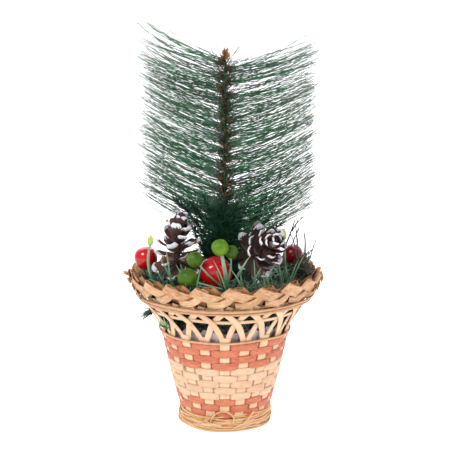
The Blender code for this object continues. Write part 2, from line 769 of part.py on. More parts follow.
def make_needle_spray(parent):
    """A sleeve twisted on the stem, with long needles rising from it in two flat fans."""
    inner, outer = STEM_RADIUS + HOLE_GAP, STEM_RADIUS + HOLE_GAP + SLEEVE
    bm = bmesh.new()
    sides = 6
    pitch = (SPRAY_TOP_Z - SPRAY_BASE_Z) / SPRAY_LEVELS

    def hexagon(radius, z):
        ring = []
        for s in range(sides):
            out = radial(TURN * (s + 0.5) / sides + SPRAY_TURN)
            ring.append(out * radius + Vector((0, 0, z)))
        return add_ring(bm, ring)

    levels = [hexagon(outer, SPRAY_BASE_Z + i * pitch) for i in range(SPRAY_LEVELS + 1)]
    for ring_a, ring_b in zip(levels, levels[1:]):
        bridge(bm, ring_a, ring_b)
    bore_low, bore_high = hexagon(inner, SPRAY_BASE_Z), hexagon(inner, SPRAY_TOP_Z)
    bridge(bm, bore_high, bore_low)
    bridge(bm, levels[-1], bore_high)
    bridge(bm, bore_low, levels[0])
    bmesh.ops.recalc_face_normals(bm, faces=bm.faces[:])
    bm.normal_update()
    up = Vector((0, 0, 1))
    for heading in (SPRAY_TURN, SPRAY_TURN + math.pi):
        facing = [f for f in bm.faces if f.normal.dot(radial(heading)) > 0.99]
        facing = [f for f in facing if f.calc_area() < 2 * pitch * outer]
        facing.sort(key=lambda f: f.calc_center_median().z)
        for i, face in enumerate(facing):
            centre = face.calc_center_median()
            at = heading + FAN_HALF_ANGLE * math.sin(2.4 * i)
            way = radial(at) * math.cos(NEEDLE_RISE) + up * math.sin(NEEDLE_RISE)
            start = centre + radial(heading) * 1.4 * MM
            stops = ((start, 0.34, 0.2), (start + way * NEEDLE_LENGTH, 0.16, 0.08))
            sprout(bm, face, stops, tangent(heading))
    add_mesh("needle_spray", bm, "pine_green", parent)


def make_spray_ends(parent):
    """The brown bud that caps the stem, and the skirt of short needles at its foot."""
    inner = STEM_RADIUS + HOLE_GAP
    base = SPRAY_TOP_Z + GAP
    bud = (
        (inner, base),
        (inner + 1.6 * MM, base + 1.0 * MM),
        (inner + 1.9 * MM, base + 3.2 * MM),
        (1.5 * MM, base + 6.6 * MM),
        (0, base + TIP_BUD_HEIGHT),
        (0, STEM_TOP_Z + GAP),
        (inner, STEM_TOP_Z + GAP),
    )
    add_mesh("tip_bud", lathe_cap(bud, 10), "bark_brown", parent, smooth=True)
    waist = SKIRT_BASE_Z + 0.62 * (SKIRT_TOP_Z - SKIRT_BASE_Z)
    skirt = (
        (inner, SKIRT_BASE_Z),
        (0.42 * SKIRT_RADIUS, SKIRT_BASE_Z + 2 * MM),
        (SKIRT_RADIUS, waist),
        (0.7 * SKIRT_RADIUS, SKIRT_TOP_Z),
        (inner, SKIRT_TOP_Z - 4 * MM),
    )
    add_mesh("needle_skirt", lathe(skirt, 16), "garland_green", parent, smooth=True)


def lathe_cap(section, segments):
    """A cap turned from a closed section with two of its points on the axis: one outside, one inside."""
    outer_end = next(i for i, (r, _) in enumerate(section) if r == 0)
    ordered = list(section[outer_end + 1 :]) + list(section[: outer_end + 1])
    return lathe(ordered, segments)


# ------------------------------------------------------------------------------- blades in the garland


def make_blade(name, points, width, finish="blade_green"):
    """A flat grass blade along a path, tapering to its tip."""
    path = [place(p) for p in points]
    rings = []
    for i, point in enumerate(path):
        ahead = path[min(i + 1, len(path) - 1)] - path[max(i - 1, 0)]
        side = ahead.cross(Vector((point.x, point.y, 0))).normalized()
        face = side.cross(ahead).normalized()
        share = 1.0 - 0.6 * i / (len(path) - 1)
        half, thin = width * share / 2, 0.35 * MM
        ring = []
        for x, y in ((-1, -1), (1, -1), (1, 1), (-1, 1)):
            ring.append(point + side * x * half + face * y * thin)
        rings.append(ring)
    return add_mesh(name, open_sweep(rings), finish)


def make_bud(name, tip, radius, height):
    """A pointed bud standing on a blade's tip."""
    profile = (
        (0, GAP),
        (0.75 * radius, 0.15 * height),
        (radius, 0.4 * height),
        (0.55 * radius, 0.72 * height),
        (0, height),
    )
    bud = add_mesh(name, lathe(profile, 10), "bud_yellow", smooth=True)
    bud.location = place(tip)


def make_grass_tuft(name, root, tips):
    """Blades spreading from a short root that sits on the garland."""
    bm = bmesh.new()
    middle = place(root)
    sides, radius = 8, 1.9 * MM
    rings = []
    for z in (0.0, 2.2 * MM):
        points = [middle + radial(TURN * s / sides) * radius + Vector((0, 0, z)) for s in range(sides)]
        rings.append(add_ring(bm, points))
    bridge(bm, rings[0], rings[1])
    bm.faces.new(rings[0])
    bm.faces.new(rings[1])
    bmesh.ops.recalc_face_normals(bm, faces=bm.faces[:])
    bm.normal_update()
    walls = [f for f in bm.faces if len(f.verts) == 4]
    up = Vector((0, 0, 1))
    for tip in tips:
        end = place(tip)
        heading = (end - middle) * Vector((1, 1, 0))
        face = max(walls, key=lambda f: f.normal.dot(heading))
        walls.remove(face)
        start = face.calc_center_median()
        side = up.cross(face.normal).normalized()
        bend = start.lerp(end, 0.45) + up * 0.16 * (end - start).length
        stops = ((bend, 0.9, 0.32), (end, 0.35, 0.22))
        sprout(bm, face, stops, side)
    add_mesh(name, bm, "blade_green")


def make_greenery():
    for name, (path, width, radius, height) in BUD_BLADES.items():
        make_blade(f"{name}_blade", path, width * MM)
        make_bud(name, path[-1], radius * MM, height * MM)
    for name, (root, tips) in GRASS_TUFTS.items():
        make_grass_tuft(name, root, tips)


def main():
    remove_startup_objects()
    make_stake_cage()
    for row in range(ROWS):
        make_weaver(row)
    make_hoops()
    for number in range(PLAIT_STRANDS):
        make_plait_strand(number)
    make_foot()

    holes = [(Matrix.Translation((0, 0, FOAM_TOP_Z)), STEM_RADIUS + HOLE_GAP, STEM_DEPTH + GAP, 20 * MM)]
    picks = []
    for name, (head, entry, radius) in BERRY_PICKS.items():
        picks.append(make_berry_pick(name, head, entry, radius * MM))
    for name, where in CONE_PICKS.items():
        picks.append(make_cone_pick(name, *where))
    picks.append(make_front_pick())
    for empty, top in picks:
        holes.append((empty.matrix_world.copy(), WIRE_RADIUS + HOLE_GAP, WIRE_DEPTH + GAP, top))
    cutter = make_hole_cutter(holes)
    foam_base = make_liner()
    make_foam(foam_base, cutter)
    make_garland("garland_outer_loop", GARLAND_RADIUS, GARLAND_Z, GARLAND_THICK, cutter)
    make_garland("garland_inner_loop", INNER_GARLAND_RADIUS, INNER_GARLAND_Z, INNER_GARLAND_THICK, cutter)

    tree = bpy.data.objects.new("pine_spray", None)
    bpy.context.scene.collection.objects.link(tree)
    make_stem(tree)
    make_needle_spray(tree)
    make_spray_ends(tree)
    make_greenery()


main()
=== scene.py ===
# %% [markdown]
# # A tabletop pine in a woven splint basket
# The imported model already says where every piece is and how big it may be. This lesson puts the looks
# around it: splints with fibre in them, many thousand film needles, cones with painted tips, lacquered
# berries. We load the frame first and measure it, because the basket, the spray and every ornament start
# from its nodes.

# %% Load the frame
import math
import random

import bpy
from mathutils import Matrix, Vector


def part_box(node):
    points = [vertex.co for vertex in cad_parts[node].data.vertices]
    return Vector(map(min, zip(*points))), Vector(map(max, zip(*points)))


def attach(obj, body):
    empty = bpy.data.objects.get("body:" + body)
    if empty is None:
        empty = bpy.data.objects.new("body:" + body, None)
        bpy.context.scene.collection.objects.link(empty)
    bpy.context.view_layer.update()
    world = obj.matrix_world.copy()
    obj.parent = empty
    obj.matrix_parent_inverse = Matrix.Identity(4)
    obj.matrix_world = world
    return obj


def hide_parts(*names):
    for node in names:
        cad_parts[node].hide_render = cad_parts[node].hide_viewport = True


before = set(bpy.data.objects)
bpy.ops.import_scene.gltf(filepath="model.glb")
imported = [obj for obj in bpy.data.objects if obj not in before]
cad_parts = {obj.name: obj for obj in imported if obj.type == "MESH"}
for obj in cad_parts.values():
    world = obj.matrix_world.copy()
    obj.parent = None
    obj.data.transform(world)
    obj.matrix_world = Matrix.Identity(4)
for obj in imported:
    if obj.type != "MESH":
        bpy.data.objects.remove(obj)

MM = 0.001
TURN = 2 * math.pi
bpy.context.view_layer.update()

# %% [markdown]
# ## Camera
# The object is looked at from about 65 cm away and 24 cm up, tilted down by 9 degrees. A long lens from
# further back would flatten the round rim, so the distance matters as much as the angle.

# %% Camera
VIEW_DISTANCE = 0.647
VIEW_HEIGHT = 0.235
VIEW_PITCH = math.radians(9.2)
LENS = 80.2

scene = bpy.context.scene
camera = bpy.data.objects.new("camera", bpy.data.cameras.new("camera"))
camera.data.lens = LENS
camera.data.sensor_width = 36.0
camera.location = (0.0, -VIEW_DISTANCE, VIEW_HEIGHT)
camera.rotation_euler = (math.radians(90) - VIEW_PITCH, 0.0, 0.0)
scene.collection.objects.link(camera)
scene.camera = camera
print("camera looks down by", round(math.degrees(VIEW_PITCH), 1), "degrees")

# %% [markdown]
# ## Light
# A product on white: a bright even room, one large soft lamp at the upper left that makes the highlights
# on the berries, a weaker one on the right, and one behind that lights the tips of the needles. The colours
# are kept plain, so the view transform is Standard.

# %% Light
ROOM_COLOUR = (0.97, 0.97, 1.0, 1.0)
ROOM_STRENGTH = 0.46
LAMP_AIM = (0, 0, 0.12)  # the middle of the tree

scene.view_settings.view_transform = "Standard"
world = bpy.data.worlds.new("bright room")
world.use_nodes = True
room = world.node_tree.nodes["Background"]
room.inputs["Color"].default_value = ROOM_COLOUR
room.inputs["Strength"].default_value = ROOM_STRENGTH
scene.world = world


def area_lamp(name, place, size, watts):
    """A square soft lamp at a place, turned to the tree."""
    lamp = bpy.data.objects.new(name, bpy.data.lights.new(name, "AREA"))
    lamp.data.size = size
    lamp.data.energy = watts
    lamp.location = place
    lamp.rotation_euler = (Vector(LAMP_AIM) - Vector(place)).to_track_quat("-Z", "Y").to_euler()
    scene.collection.objects.link(lamp)


area_lamp("key lamp", (-0.55, -0.75, 0.85), 0.35, 7.8)
area_lamp("fill lamp", (0.8, -0.6, 0.5), 0.6, 3.2)
area_lamp("back lamp", (0.2, 0.8, 0.9), 0.6, 5.0)

# %% [markdown]
# ## Node helpers
# Materials here are written as code. One helper places a node and fills its inputs, with either numbers
# or links, and a few short ones on top of it make the nodes that come up again and again.

# %% Node helpers
def put(tree, kind, feeds=None, **settings):
    """A shader node with its settings, and its inputs fed by numbers, colours or other sockets."""
    node = tree.nodes.new("ShaderNode" + kind)
    for name, value in settings.items():
        setattr(node, name, value)
    for key, value in (feeds or {}).items():
        if isinstance(value, bpy.types.NodeSocket):
            tree.links.new(value, node.inputs[key])
        else:
            node.inputs[key].default_value = value
    return node


def calc(tree, operation, a, b=0.0, clamp=False):
    return put(tree, "Math", {0: a, 1: b}, operation=operation, use_clamp=clamp).outputs[0]


def scale_and_shift(tree, value, factor, shift):
    feeds = {0: value, 1: factor, 2: shift}
    return put(tree, "Math", feeds, operation="MULTIPLY_ADD").outputs[0]


def blend(tree, share, a, b):
    return put(tree, "Mix", {0: share, 6: a, 7: b}, data_type="RGBA", blend_type="MIX").outputs[2]


def between(tree, value, low, high):
    """0 below low, 1 above high, smooth in between."""
    node = put(tree, "MapRange", {"Value": value, "From Min": low, "From Max": high})
    node.interpolation_type = "SMOOTHSTEP"
    return node.outputs["Result"]


def noise(tree, vector, scale, detail=2.0, rough=0.5):
    feeds = {"Vector": vector, "Scale": scale, "Detail": detail, "Roughness": rough}
    return put(tree, "TexNoise", feeds).outputs["Fac"]


print("node helpers ready")

# %% [markdown]
# An effect that several finishes share is a node group. It is built once, with named inputs and outputs, and
# each finish places it with values of its own.

# %% Group helpers
SOCKETS = {"value": "NodeSocketFloat", "colour": "NodeSocketColor"}


def new_group(name, inputs, outputs):
    """An empty shader group with named inputs (kind and default) and outputs (kind)."""
    group = bpy.data.node_groups.new(name, "ShaderNodeTree")
    for label, (kind, default) in inputs.items():
        socket = group.interface.new_socket(label, in_out="INPUT", socket_type=SOCKETS[kind])
        socket.default_value = default
    for label, kind in outputs.items():
        group.interface.new_socket(label, in_out="OUTPUT", socket_type=SOCKETS[kind])
    return group, group.nodes.new("NodeGroupInput"), group.nodes.new("NodeGroupOutput")


def use_group(tree, group, **values):
    node = tree.nodes.new("ShaderNodeGroup")
    node.node_tree = group
    for label, value in values.items():
        node.inputs[label.replace("_", " ")].default_value = value
    return node


print("group helpers ready")

# %% [markdown]
# ## The lay of a piece
# Splints, needles and scales all have a long way and a cross way, and no two are quite the same colour.
# So every piece is built with one attribute called lay: x runs along the piece, y runs across it from -1
# to 1, and z is a number of its own, the same over one splint or needle. Grain and tips are then painted
# by lay, and follow the piece however it bends.

# %% Read the lay
def lay_of(tree):
    """The three lay values of the surface: along, across, and the piece's own number."""
    lay = put(tree, "Attribute", attribute_name="lay")
    parts = put(tree, "SeparateXYZ", {0: lay.outputs["Vector"]})
    return parts.outputs[0], parts.outputs[1], parts.outputs[2]


def lay_coords(tree, along, across, own):
    """Noise coordinates that stretch with the piece."""
    x, y, z = lay_of(tree)
    feeds = {0: calc(tree, "MULTIPLY", x, along), 1: calc(tree, "MULTIPLY", y, across)}
    feeds[2] = calc(tree, "MULTIPLY", z, own)
    return put(tree, "CombineXYZ", feeds).outputs[0]


print("lay: x along, y across, z the piece's own number")

# %% [markdown]
# ## Splint fibre
# Split bamboo shows straight fibre lines, a slow change of colour along each strip, darker edges and
# now and then a brown stain. The darker edges are partly the cut edges' own colour and partly painted
# shade where the strips meet. The group makes all four from lay. It could be painted per strip, but a
# group lets the straw, tan and pink splints share one fibre with their own colours.

# %% Splint fibre group
fibre, f_in, f_out = new_group(
    "splint fibre",
    {
        "Pale": ("colour", (0.9, 0.7, 0.45, 1)),
        "Deep": ("colour", (0.6, 0.35, 0.15, 1)),
        "Stain": ("colour", (0.55, 0.2, 0.03, 1)),
        "Stains": ("value", 0.5),
        "Streaks": ("value", 0.5),
    },
    {"Color": "colour", "Roughness": "value", "Height": "value"},
)
along, across, own = lay_of(fibre)
slow = noise(fibre, lay_coords(fibre, 22.0, 0.7, 37.0), 1.0, 3.0)
lines = noise(fibre, lay_coords(fibre, 26.0, 7.0, 53.0), 1.0, 3.0, 0.6)
fine = noise(fibre, lay_coords(fibre, 90.0, 19.0, 71.0), 1.0, 2.0, 0.6)
streak = calc(fibre, "MULTIPLY", between(fibre, lines, 0.38, 0.68), f_in.outputs["Streaks"])
drift = calc(fibre, "ADD", calc(fibre, "MULTIPLY", slow, 0.9), calc(fibre, "MULTIPLY", own, 0.5))
depth = calc(fibre, "ADD", scale_and_shift(fibre, drift, 0.9, -0.42), streak, clamp=True)
colour = blend(fibre, depth, f_in.outputs["Pale"], f_in.outputs["Deep"])
stain_at = between(fibre, noise(fibre, lay_coords(fibre, 75.0, 0.9, 91.0), 1.0, 1.0), 0.64, 0.74)
on_some = calc(fibre, "MULTIPLY", stain_at, between(fibre, own, 0.5, 0.9))
stained = calc(fibre, "MULTIPLY", on_some, f_in.outputs["Stains"])
colour = blend(fibre, stained, colour, f_in.outputs["Stain"])
# Darker towards the edges: partly the cut edges' own colour, partly painted shade where strips meet.
edge = between(fibre, calc(fibre, "ABSOLUTE", across), 0.86, 1.0)
edge_shade_colour = blend(fibre, 0.55, f_in.outputs["Deep"], (0.25, 0.11, 0.05, 1))
colour = blend(fibre, calc(fibre, "MULTIPLY", edge, 0.3), colour, edge_shade_colour)
fibre.links.new(colour, f_out.inputs["Color"])
fibre.links.new(scale_and_shift(fibre, lines, 0.3, 0.5), f_out.inputs["Roughness"])
fibre.links.new(calc(fibre, "ADD", calc(fibre, "MULTIPLY", fine, 0.5), lines), f_out.inputs["Height"])
print("group:", fibre.name, "with", len(fibre.nodes), "nodes")

# %% [markdown]
# ## Tips
# Cone scales have white paint dabbed on their tips, and the needles of the spray fade to a greyish green
# where the film was pulled thin. Both are a ragged mask over the last part of the piece, so one group
# makes it, with its start and its raggedness as inputs.

# %% Tip group
tips, t_in, t_out = new_group(
    "tip mask",
    {"Start": ("value", 0.7), "Softness": ("value", 0.08), "Raggedness": ("value", 0.2)},
    {"Mask": "value"},
)
along, across, own = lay_of(tips)
ragged = calc(tips, "SUBTRACT", noise(tips, lay_coords(tips, 7.0, 2.4, 43.0), 1.0, 3.0, 0.6), 0.5)
push = calc(tips, "MULTIPLY", ragged, calc(tips, "MULTIPLY", t_in.outputs["Raggedness"], 2.0))
shifted = calc(tips, "ADD", along, push)
end = calc(tips, "ADD", t_in.outputs["Start"], t_in.outputs["Softness"])
tips.links.new(between(tips, shifted, t_in.outputs["Start"], end), t_out.inputs["Mask"])
print("group:", tips.name)

# %% [markdown]
# ## Mottle
# Moulded plastic, lacquer and film are never one even colour: there are slow patches and a fine grain.
# This group works in the object's own coordinates, because these pieces have no long way.

# %% Mottle group
mottle, m_in, m_out = new_group(
    "mottle",
    {
        "Light": ("colour", (0.5, 0.5, 0.5, 1)),
        "Dark": ("colour", (0.2, 0.2, 0.2, 1)),
        "Patch": ("value", 60.0),
        "Grain": ("value", 900.0),
    },
    {"Color": "colour", "Patches": "value", "Height": "value"},
)
here = put(mottle, "TexCoord").outputs["Object"]
patches = between(mottle, noise(mottle, here, m_in.outputs["Patch"], 3.0, 0.55), 0.3, 0.7)
grain = noise(mottle, here, m_in.outputs["Grain"], 2.0)
mottle.links.new(blend(mottle, patches, m_in.outputs["Dark"], m_in.outputs["Light"]), m_out.inputs["Color"])
mottle.links.new(patches, m_out.inputs["Patches"])
mottle.links.new(grain, m_out.inputs["Height"])
print("group:", mottle.name)

# %% [markdown]
# ## Finishes
# Each finish is one Principled shader. The groups feed its colour, roughness and bump, and the numbers
# that are the same everywhere, such as the coat on the berries, are set on the shader itself.

# %% Finish helpers
def new_finish(name, **shader_values):
    """A material with only its Principled shader, whose plain values are set here."""
    material = bpy.data.materials.new(name)
    material.use_nodes = True
    shader = material.node_tree.nodes["Principled BSDF"]
    for label, value in shader_values.items():
        shader.inputs[label.replace("_", " ")].default_value = value
    return material, material.node_tree, shader


def add_bump(tree, shader, height, distance, strength=1.0):
    feeds = {"Height": height, "Distance": distance, "Strength": strength}
    tree.links.new(put(tree, "Bump", feeds).outputs["Normal"], shader.inputs["Normal"])


def splint_finish(name, pale, deep, stains, streaks):
    material, tree, shader = new_finish(name, Sheen_Weight=0.05)
    group = use_group(tree, fibre, Pale=(*pale, 1), Deep=(*deep, 1), Stains=stains, Streaks=streaks)
    tree.links.new(group.outputs["Color"], shader.inputs["Base Color"])
    tree.links.new(group.outputs["Roughness"], shader.inputs["Roughness"])
    add_bump(tree, shader, group.outputs["Height"], 0.00012, 0.8)
    return material


# Pale colour, deep colour, how stained, how streaked
straw_splint = splint_finish("straw splint", (0.75, 0.535, 0.355), (0.58, 0.33, 0.18), 0.5, 0.45)
pale_splint = splint_finish("pale splint", (0.81, 0.58, 0.37), (0.60, 0.35, 0.18), 0.5, 0.4)
tan_splint = splint_finish("tan splint", (0.72, 0.455, 0.245), (0.34, 0.135, 0.042), 0.9, 0.6)
foot_splint = splint_finish("foot splint", (0.84, 0.58, 0.32), (0.58, 0.28, 0.09), 1.0, 0.5)
# Painted shade: the dark finish of the rim's inner faces and of the bands behind them.
painted_shade_splint = splint_finish("painted shade splint", (0.44, 0.20, 0.08), (0.22, 0.08, 0.03), 0.6, 0.5)
pink_splint = splint_finish("pink splint", (0.63, 0.215, 0.105), (0.42, 0.08, 0.04), 0.0, 0.8)
print("splint finishes:", [m.name for m in bpy.data.materials if "splint" in m.name])

# %% [markdown]
# The green pieces are cut from thin plastic film. Their colour runs from dark at the root to paler at the
# tip, and close to the root it is darkened further as painted shade. It differs a little from needle to
# needle, which is what keeps a bush of them from looking solid.

# %% Film finish helper
def film_finish(name, root, tip, start, softness, ragged, gloss=0.45, spread=0.5, painted_root_shade=0.05):
    """Film from its root colour to its tip colour, lighter and darker from piece to piece, painted shade at
    the root.
    """
    material, tree, shader = new_finish(name, Roughness=gloss)
    mask = use_group(tree, tips, Start=start, Softness=softness, Raggedness=ragged).outputs["Mask"]
    own_number = lay_of(tree)[2]
    darker = tuple(c * (1 - spread) for c in root)
    lighter = tuple(min(1.0, c * (1 + spread)) for c in root)
    base = blend(tree, own_number, (*darker, 1), (*lighter, 1))
    # Painted shade: each piece is darkened over a short stretch at its root.
    shade_at_root = between(tree, lay_of(tree)[0], painted_root_shade, 0.0)
    base = blend(tree, calc(tree, "MULTIPLY", shade_at_root, 0.85), base, (*(c * 0.12 for c in root), 1))
    tree.links.new(blend(tree, mask, base, (*tip, 1)), shader.inputs["Base Color"])
    ribs = noise(tree, lay_coords(tree, 3.0, 4.0, 61.0), 1.0, 2.0)
    add_bump(tree, shader, ribs, 0.0001, 0.5)
    return material


print("film finish helper ready")

# %% [markdown]
# The spray's film is the brightest green and the garland's the darkest, partly its own dark green and
# partly painted shade, so that the basket's mouth looks deep. Bark and twigs are the same film in brown
# and in a dull grey green.

# %% Film finishes
# Root colour, tip colour, then where the tip colour starts, how softly and how raggedly
needle_film = film_finish(
    "needle film", (0.024, 0.115, 0.046), (0.13, 0.19, 0.145), 0.55, 0.6, 0.25, spread=0.95, painted_root_shade=0.2
)
skirt_film = film_finish(
    "skirt film", (0.010, 0.05, 0.026), (0.03, 0.12, 0.065), 0.5, 0.5, 0.2, spread=0.8, painted_root_shade=0.3
)
# The garland's very dark colours are partly painted shade, for the deep mouth.
garland_film = film_finish(
    "garland film", (0.007, 0.028, 0.013), (0.035, 0.10, 0.05), 0.3, 0.6, 0.3, spread=0.9, painted_root_shade=0.25
)
# Painted highlight: the curled film is much paler than the garland film it is cut from.
highlit_curl_film = film_finish(
    "curled film", (0.075, 0.17, 0.11), (0.16, 0.27, 0.19), 0.3, 0.6, 0.3, spread=0.85, painted_root_shade=0.3
)
grass_film = film_finish(
    "grass film", (0.085, 0.21, 0.10), (0.22, 0.36, 0.22), 0.3, 0.7, 0.3, spread=0.6, painted_root_shade=0.15
)
leaf_film = film_finish("leaf film", (0.05, 0.24, 0.07), (0.12, 0.42, 0.15), 0.2, 0.6, 0.3)
bud_film = film_finish("bud film", (0.36, 0.50, 0.10), (0.72, 0.66, 0.12), 0.45, 0.4, 0.2, spread=0.25)
bark_film = film_finish(
    "bark film", (0.08, 0.045, 0.018), (0.20, 0.10, 0.032), 0.3, 0.6, 0.5,
    gloss=0.7, spread=0.9, painted_root_shade=0.3,
)
bush_film = film_finish(
    "bush film", (0.026, 0.03, 0.016), (0.10, 0.085, 0.05), 0.3, 0.6, 0.4,
    gloss=0.6, spread=0.9, painted_root_shade=0.3,
)
bud_bark = film_finish(
    "bud bark", (0.30, 0.115, 0.03), (0.48, 0.20, 0.06), 0.4, 0.5, 0.4, gloss=0.7, spread=0.6
)
twig_film = film_finish(
    "twig film", (0.035, 0.04, 0.026), (0.07, 0.06, 0.045), 0.4, 0.5, 0.4, gloss=0.7, spread=0.5
)
print("films:", needle_film.name, garland_film.name, grass_film.name, bark_film.name)

# %% [markdown]
# The cones are real ones: dark brown scales, redder inside, with thick white paint on the tips that
# stands proud of the wood. The paint mask drives colour, roughness and bump together, so its rim catches
# the light.

# %% Cone finish
DARK_WOOD = (0.022, 0.010, 0.009, 1)
BROWN_WOOD = (0.085, 0.035, 0.026, 1)
RED_WOOD = (0.17, 0.055, 0.035, 1)
GREY_PAINT = (0.56, 0.57, 0.60, 1)
WHITE_PAINT = (0.88, 0.89, 0.91, 1)

cone_scale, tree, shader = new_finish("cone scale")
scale_number = lay_of(tree)[2]
paint = use_group(tree, tips, Start=0.82, Softness=0.03, Raggedness=0.32).outputs["Mask"]
paint = calc(tree, "MULTIPLY", paint, between(tree, scale_number, 0.14, 0.26))
wood = noise(tree, lay_coords(tree, 2.0, 6.0, 29.0), 1.0, 4.0, 0.6)
wood_colour = blend(tree, between(tree, wood, 0.35, 0.7), DARK_WOOD, BROWN_WOOD)
redder = calc(tree, "MULTIPLY", between(tree, scale_number, 0.55, 0.95), 0.5)
wood_colour = blend(tree, redder, wood_colour, RED_WOOD)
paint_colour = blend(tree, wood, GREY_PAINT, WHITE_PAINT)
tree.links.new(blend(tree, paint, wood_colour, paint_colour), shader.inputs["Base Color"])
tree.links.new(scale_and_shift(tree, paint, -0.2, 0.75), shader.inputs["Roughness"])
add_bump(tree, shader, calc(tree, "ADD", calc(tree, "MULTIPLY", wood, 0.6), paint), 0.0003, 0.8)
print("finish:", cone_scale.name)

# %% [markdown]
# The berries are dipped in red lacquer and the balls in green. A clear coat gives the sharp highlight,
# over a body colour that is darker where the lacquer has run thick.

# %% Berry, ball, wire, liner and foam finishes
def mottled_finish(name, light, dark, patch, grain_size, bump, **shader_values):
    material, tree, shader = new_finish(name, **shader_values)
    group = use_group(tree, mottle, Light=(*light, 1), Dark=(*dark, 1), Patch=patch, Grain=grain_size)
    tree.links.new(group.outputs["Color"], shader.inputs["Base Color"])
    add_bump(tree, shader, group.outputs["Height"], bump, 0.6)
    return material


berry_lacquer = mottled_finish(
    "berry lacquer", (0.60, 0.004, 0.008), (0.34, 0.001, 0.004), 55.0, 700.0, 0.00003,
    Roughness=0.3, Specular_IOR_Level=0.2, Coat_Weight=0.7, Coat_Roughness=0.04,
)
dark_berry_lacquer = mottled_finish(
    "dark berry lacquer", (0.30, 0.004, 0.014), (0.13, 0.002, 0.008), 70.0, 700.0, 0.00003,
    Roughness=0.35, Specular_IOR_Level=0.2, Coat_Weight=0.6, Coat_Roughness=0.1,
)
ball_lacquer = mottled_finish(
    "ball lacquer", (0.13, 0.25, 0.006), (0.07, 0.17, 0.006), 110.0, 900.0, 0.00006,
    Roughness=0.5, Specular_IOR_Level=0.2, Coat_Weight=0.12, Coat_Roughness=0.3,
)
# Painted shade: a darker copy of the green lacquer for the balls lower down and further back.
shaded_ball_lacquer = mottled_finish(
    "shaded ball lacquer", (0.10, 0.19, 0.008), (0.04, 0.10, 0.006), 130.0, 900.0, 0.00006,
    Roughness=0.5, Specular_IOR_Level=0.2, Coat_Weight=0.12, Coat_Roughness=0.3,
)
wire_tape = mottled_finish(
    "wire tape", (0.07, 0.11, 0.05), (0.03, 0.05, 0.02), 400.0, 2500.0, 0.0001, Roughness=0.7
)
liner_film = mottled_finish(
    "liner film", (0.80, 0.74, 0.78), (0.42, 0.33, 0.33), 90.0, 500.0, 0.0004, Roughness=0.22
)
dry_foam = mottled_finish(
    "dry foam", (0.20, 0.19, 0.16), (0.10, 0.10, 0.08), 300.0, 1800.0, 0.0006, Roughness=0.95
)
print("finishes so far:", len(bpy.data.materials))

# %% [markdown]
# ## Mesh helpers
# Everything in this basket is a strip, a rod or a blade that follows a path. A Shape collects points,
# faces and lay values, so that thousands of needles become one mesh and one piece.

# %% Shape
SHARP_ABOVE = math.radians(50)  # edges that turn by more than this stay crisp


class Shape:
    """Points, faces and lay values of a piece while it is being made."""

    def __init__(self):
        self.points = []
        self.faces = []
        self.lays = []

    def ring(self, points, lays):
        start = len(self.points)
        self.points.extend(points)
        self.lays.extend(lays)
        return list(range(start, start + len(points)))

    def join(self, a, b):
        count = len(a)
        for i in range(count):
            j = (i + 1) % count
            self.faces.append((a[i], a[j], b[j], b[i]))

    def sweep(self, rings):
        """Rings of (points, lays) joined in a row, with both ends closed."""
        made = [self.ring(points, lays) for points, lays in rings]
        for a, b in zip(made, made[1:]):
            self.join(a, b)
        self.faces.append(tuple(reversed(made[0])))
        self.faces.append(tuple(made[-1]))

    def piece(self, name, body, finish, slot, stands_for=()):
        """Turns the shape into an object that rides on a body and stands for CAD nodes."""
        mesh = bpy.data.meshes.new(name)
        mesh.from_pydata([tuple(p) for p in self.points], [], self.faces)
        lay = mesh.attributes.new("lay", "FLOAT_VECTOR", "POINT")
        lay.data.foreach_set("vector", [v for triple in self.lays for v in triple])
        mesh.validate()
        mesh.update()
        mesh.shade_smooth()
        mesh.set_sharp_from_angle(angle=SHARP_ABOVE)
        mesh.materials.append(finish)
        made = bpy.data.objects.new(name, mesh)
        scene.collection.objects.link(made)
        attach(made, body)
        if stands_for:
            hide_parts(*stands_for)
        print(f"{name}: {len(mesh.polygons)} faces")
        return made


# %% [markdown]
# A splint's section is a flat lens with blunt edges: it is thicker in the middle and bows a little,
# because it was split from a round cane. A needle's section is a thin diamond.

# %% Strips
SPLINT_SECTION = (
    (-1, -0.4), (-0.9, -0.9), (0, -1), (0.9, -0.9), (1, -0.4),
    (1, 0.4), (0.9, 0.9), (0, 1), (-0.9, 0.9), (-1, 0.4),
)
LAY_PER_METRE = 10  # how fast lay runs along a strip or a rod


def add_strip(shape, stations, own, bow=0.0):
    """A splint through stations of (centre, side, face, half width, half thickness). Side and face are unit
    vectors across the strip and out of it; bow lifts its middle line."""
    rings = []
    travelled = 0.0
    before = stations[0][0]
    for centre, side, face, half_width, half_thick in stations:
        travelled += (centre - before).length
        before = centre
        points = []
        for x, y in SPLINT_SECTION:
            points.append(centre + side * x * half_width + face * (y * half_thick + bow * (1 - x * x)))
        rings.append((points, [(travelled * LAY_PER_METRE, x, own) for x, y in SPLINT_SECTION]))
    shape.sweep(rings)


print("splint section has", len(SPLINT_SECTION), "points")

# %% [markdown]
# A blade tapers to its tip, and taper says how much of its width is left there. Its lay runs from 0 at
# the root to 1 at the tip whatever its length, so that the tip mask always lands on the tip.

# %% Blades
BLADE_SECTION = ((-1, 0), (0, 1), (1, 0), (0, -1))


def add_blade(shape, path, half_width, half_thick, own, side=None, taper=0.15):
    """A needle or leaf along a path."""
    rings = []
    last = len(path) - 1
    for i, point in enumerate(path):
        way = (path[min(i + 1, last)] - path[max(i - 1, 0)]).normalized()
        across = side if side else way.orthogonal().normalized()
        face = way.cross(across).normalized()
        across = face.cross(way).normalized()
        share = i / last
        width = half_width * (taper + (1 - taper) * (1 - share**1.5))
        thick = half_thick * (0.4 + 0.6 * (1 - share))
        points = [point + across * x * width + face * y * thick for x, y in BLADE_SECTION]
        rings.append((points, [(share, x, own) for x, y in BLADE_SECTION]))
    shape.sweep(rings)


print("blade section has", len(BLADE_SECTION), "points")

# %% [markdown]
# Wires, stems and the splints that spring loose at the foot are round rods. Two short functions give the
# outward and the sideways direction at an angle round the basket, which nearly every piece needs.

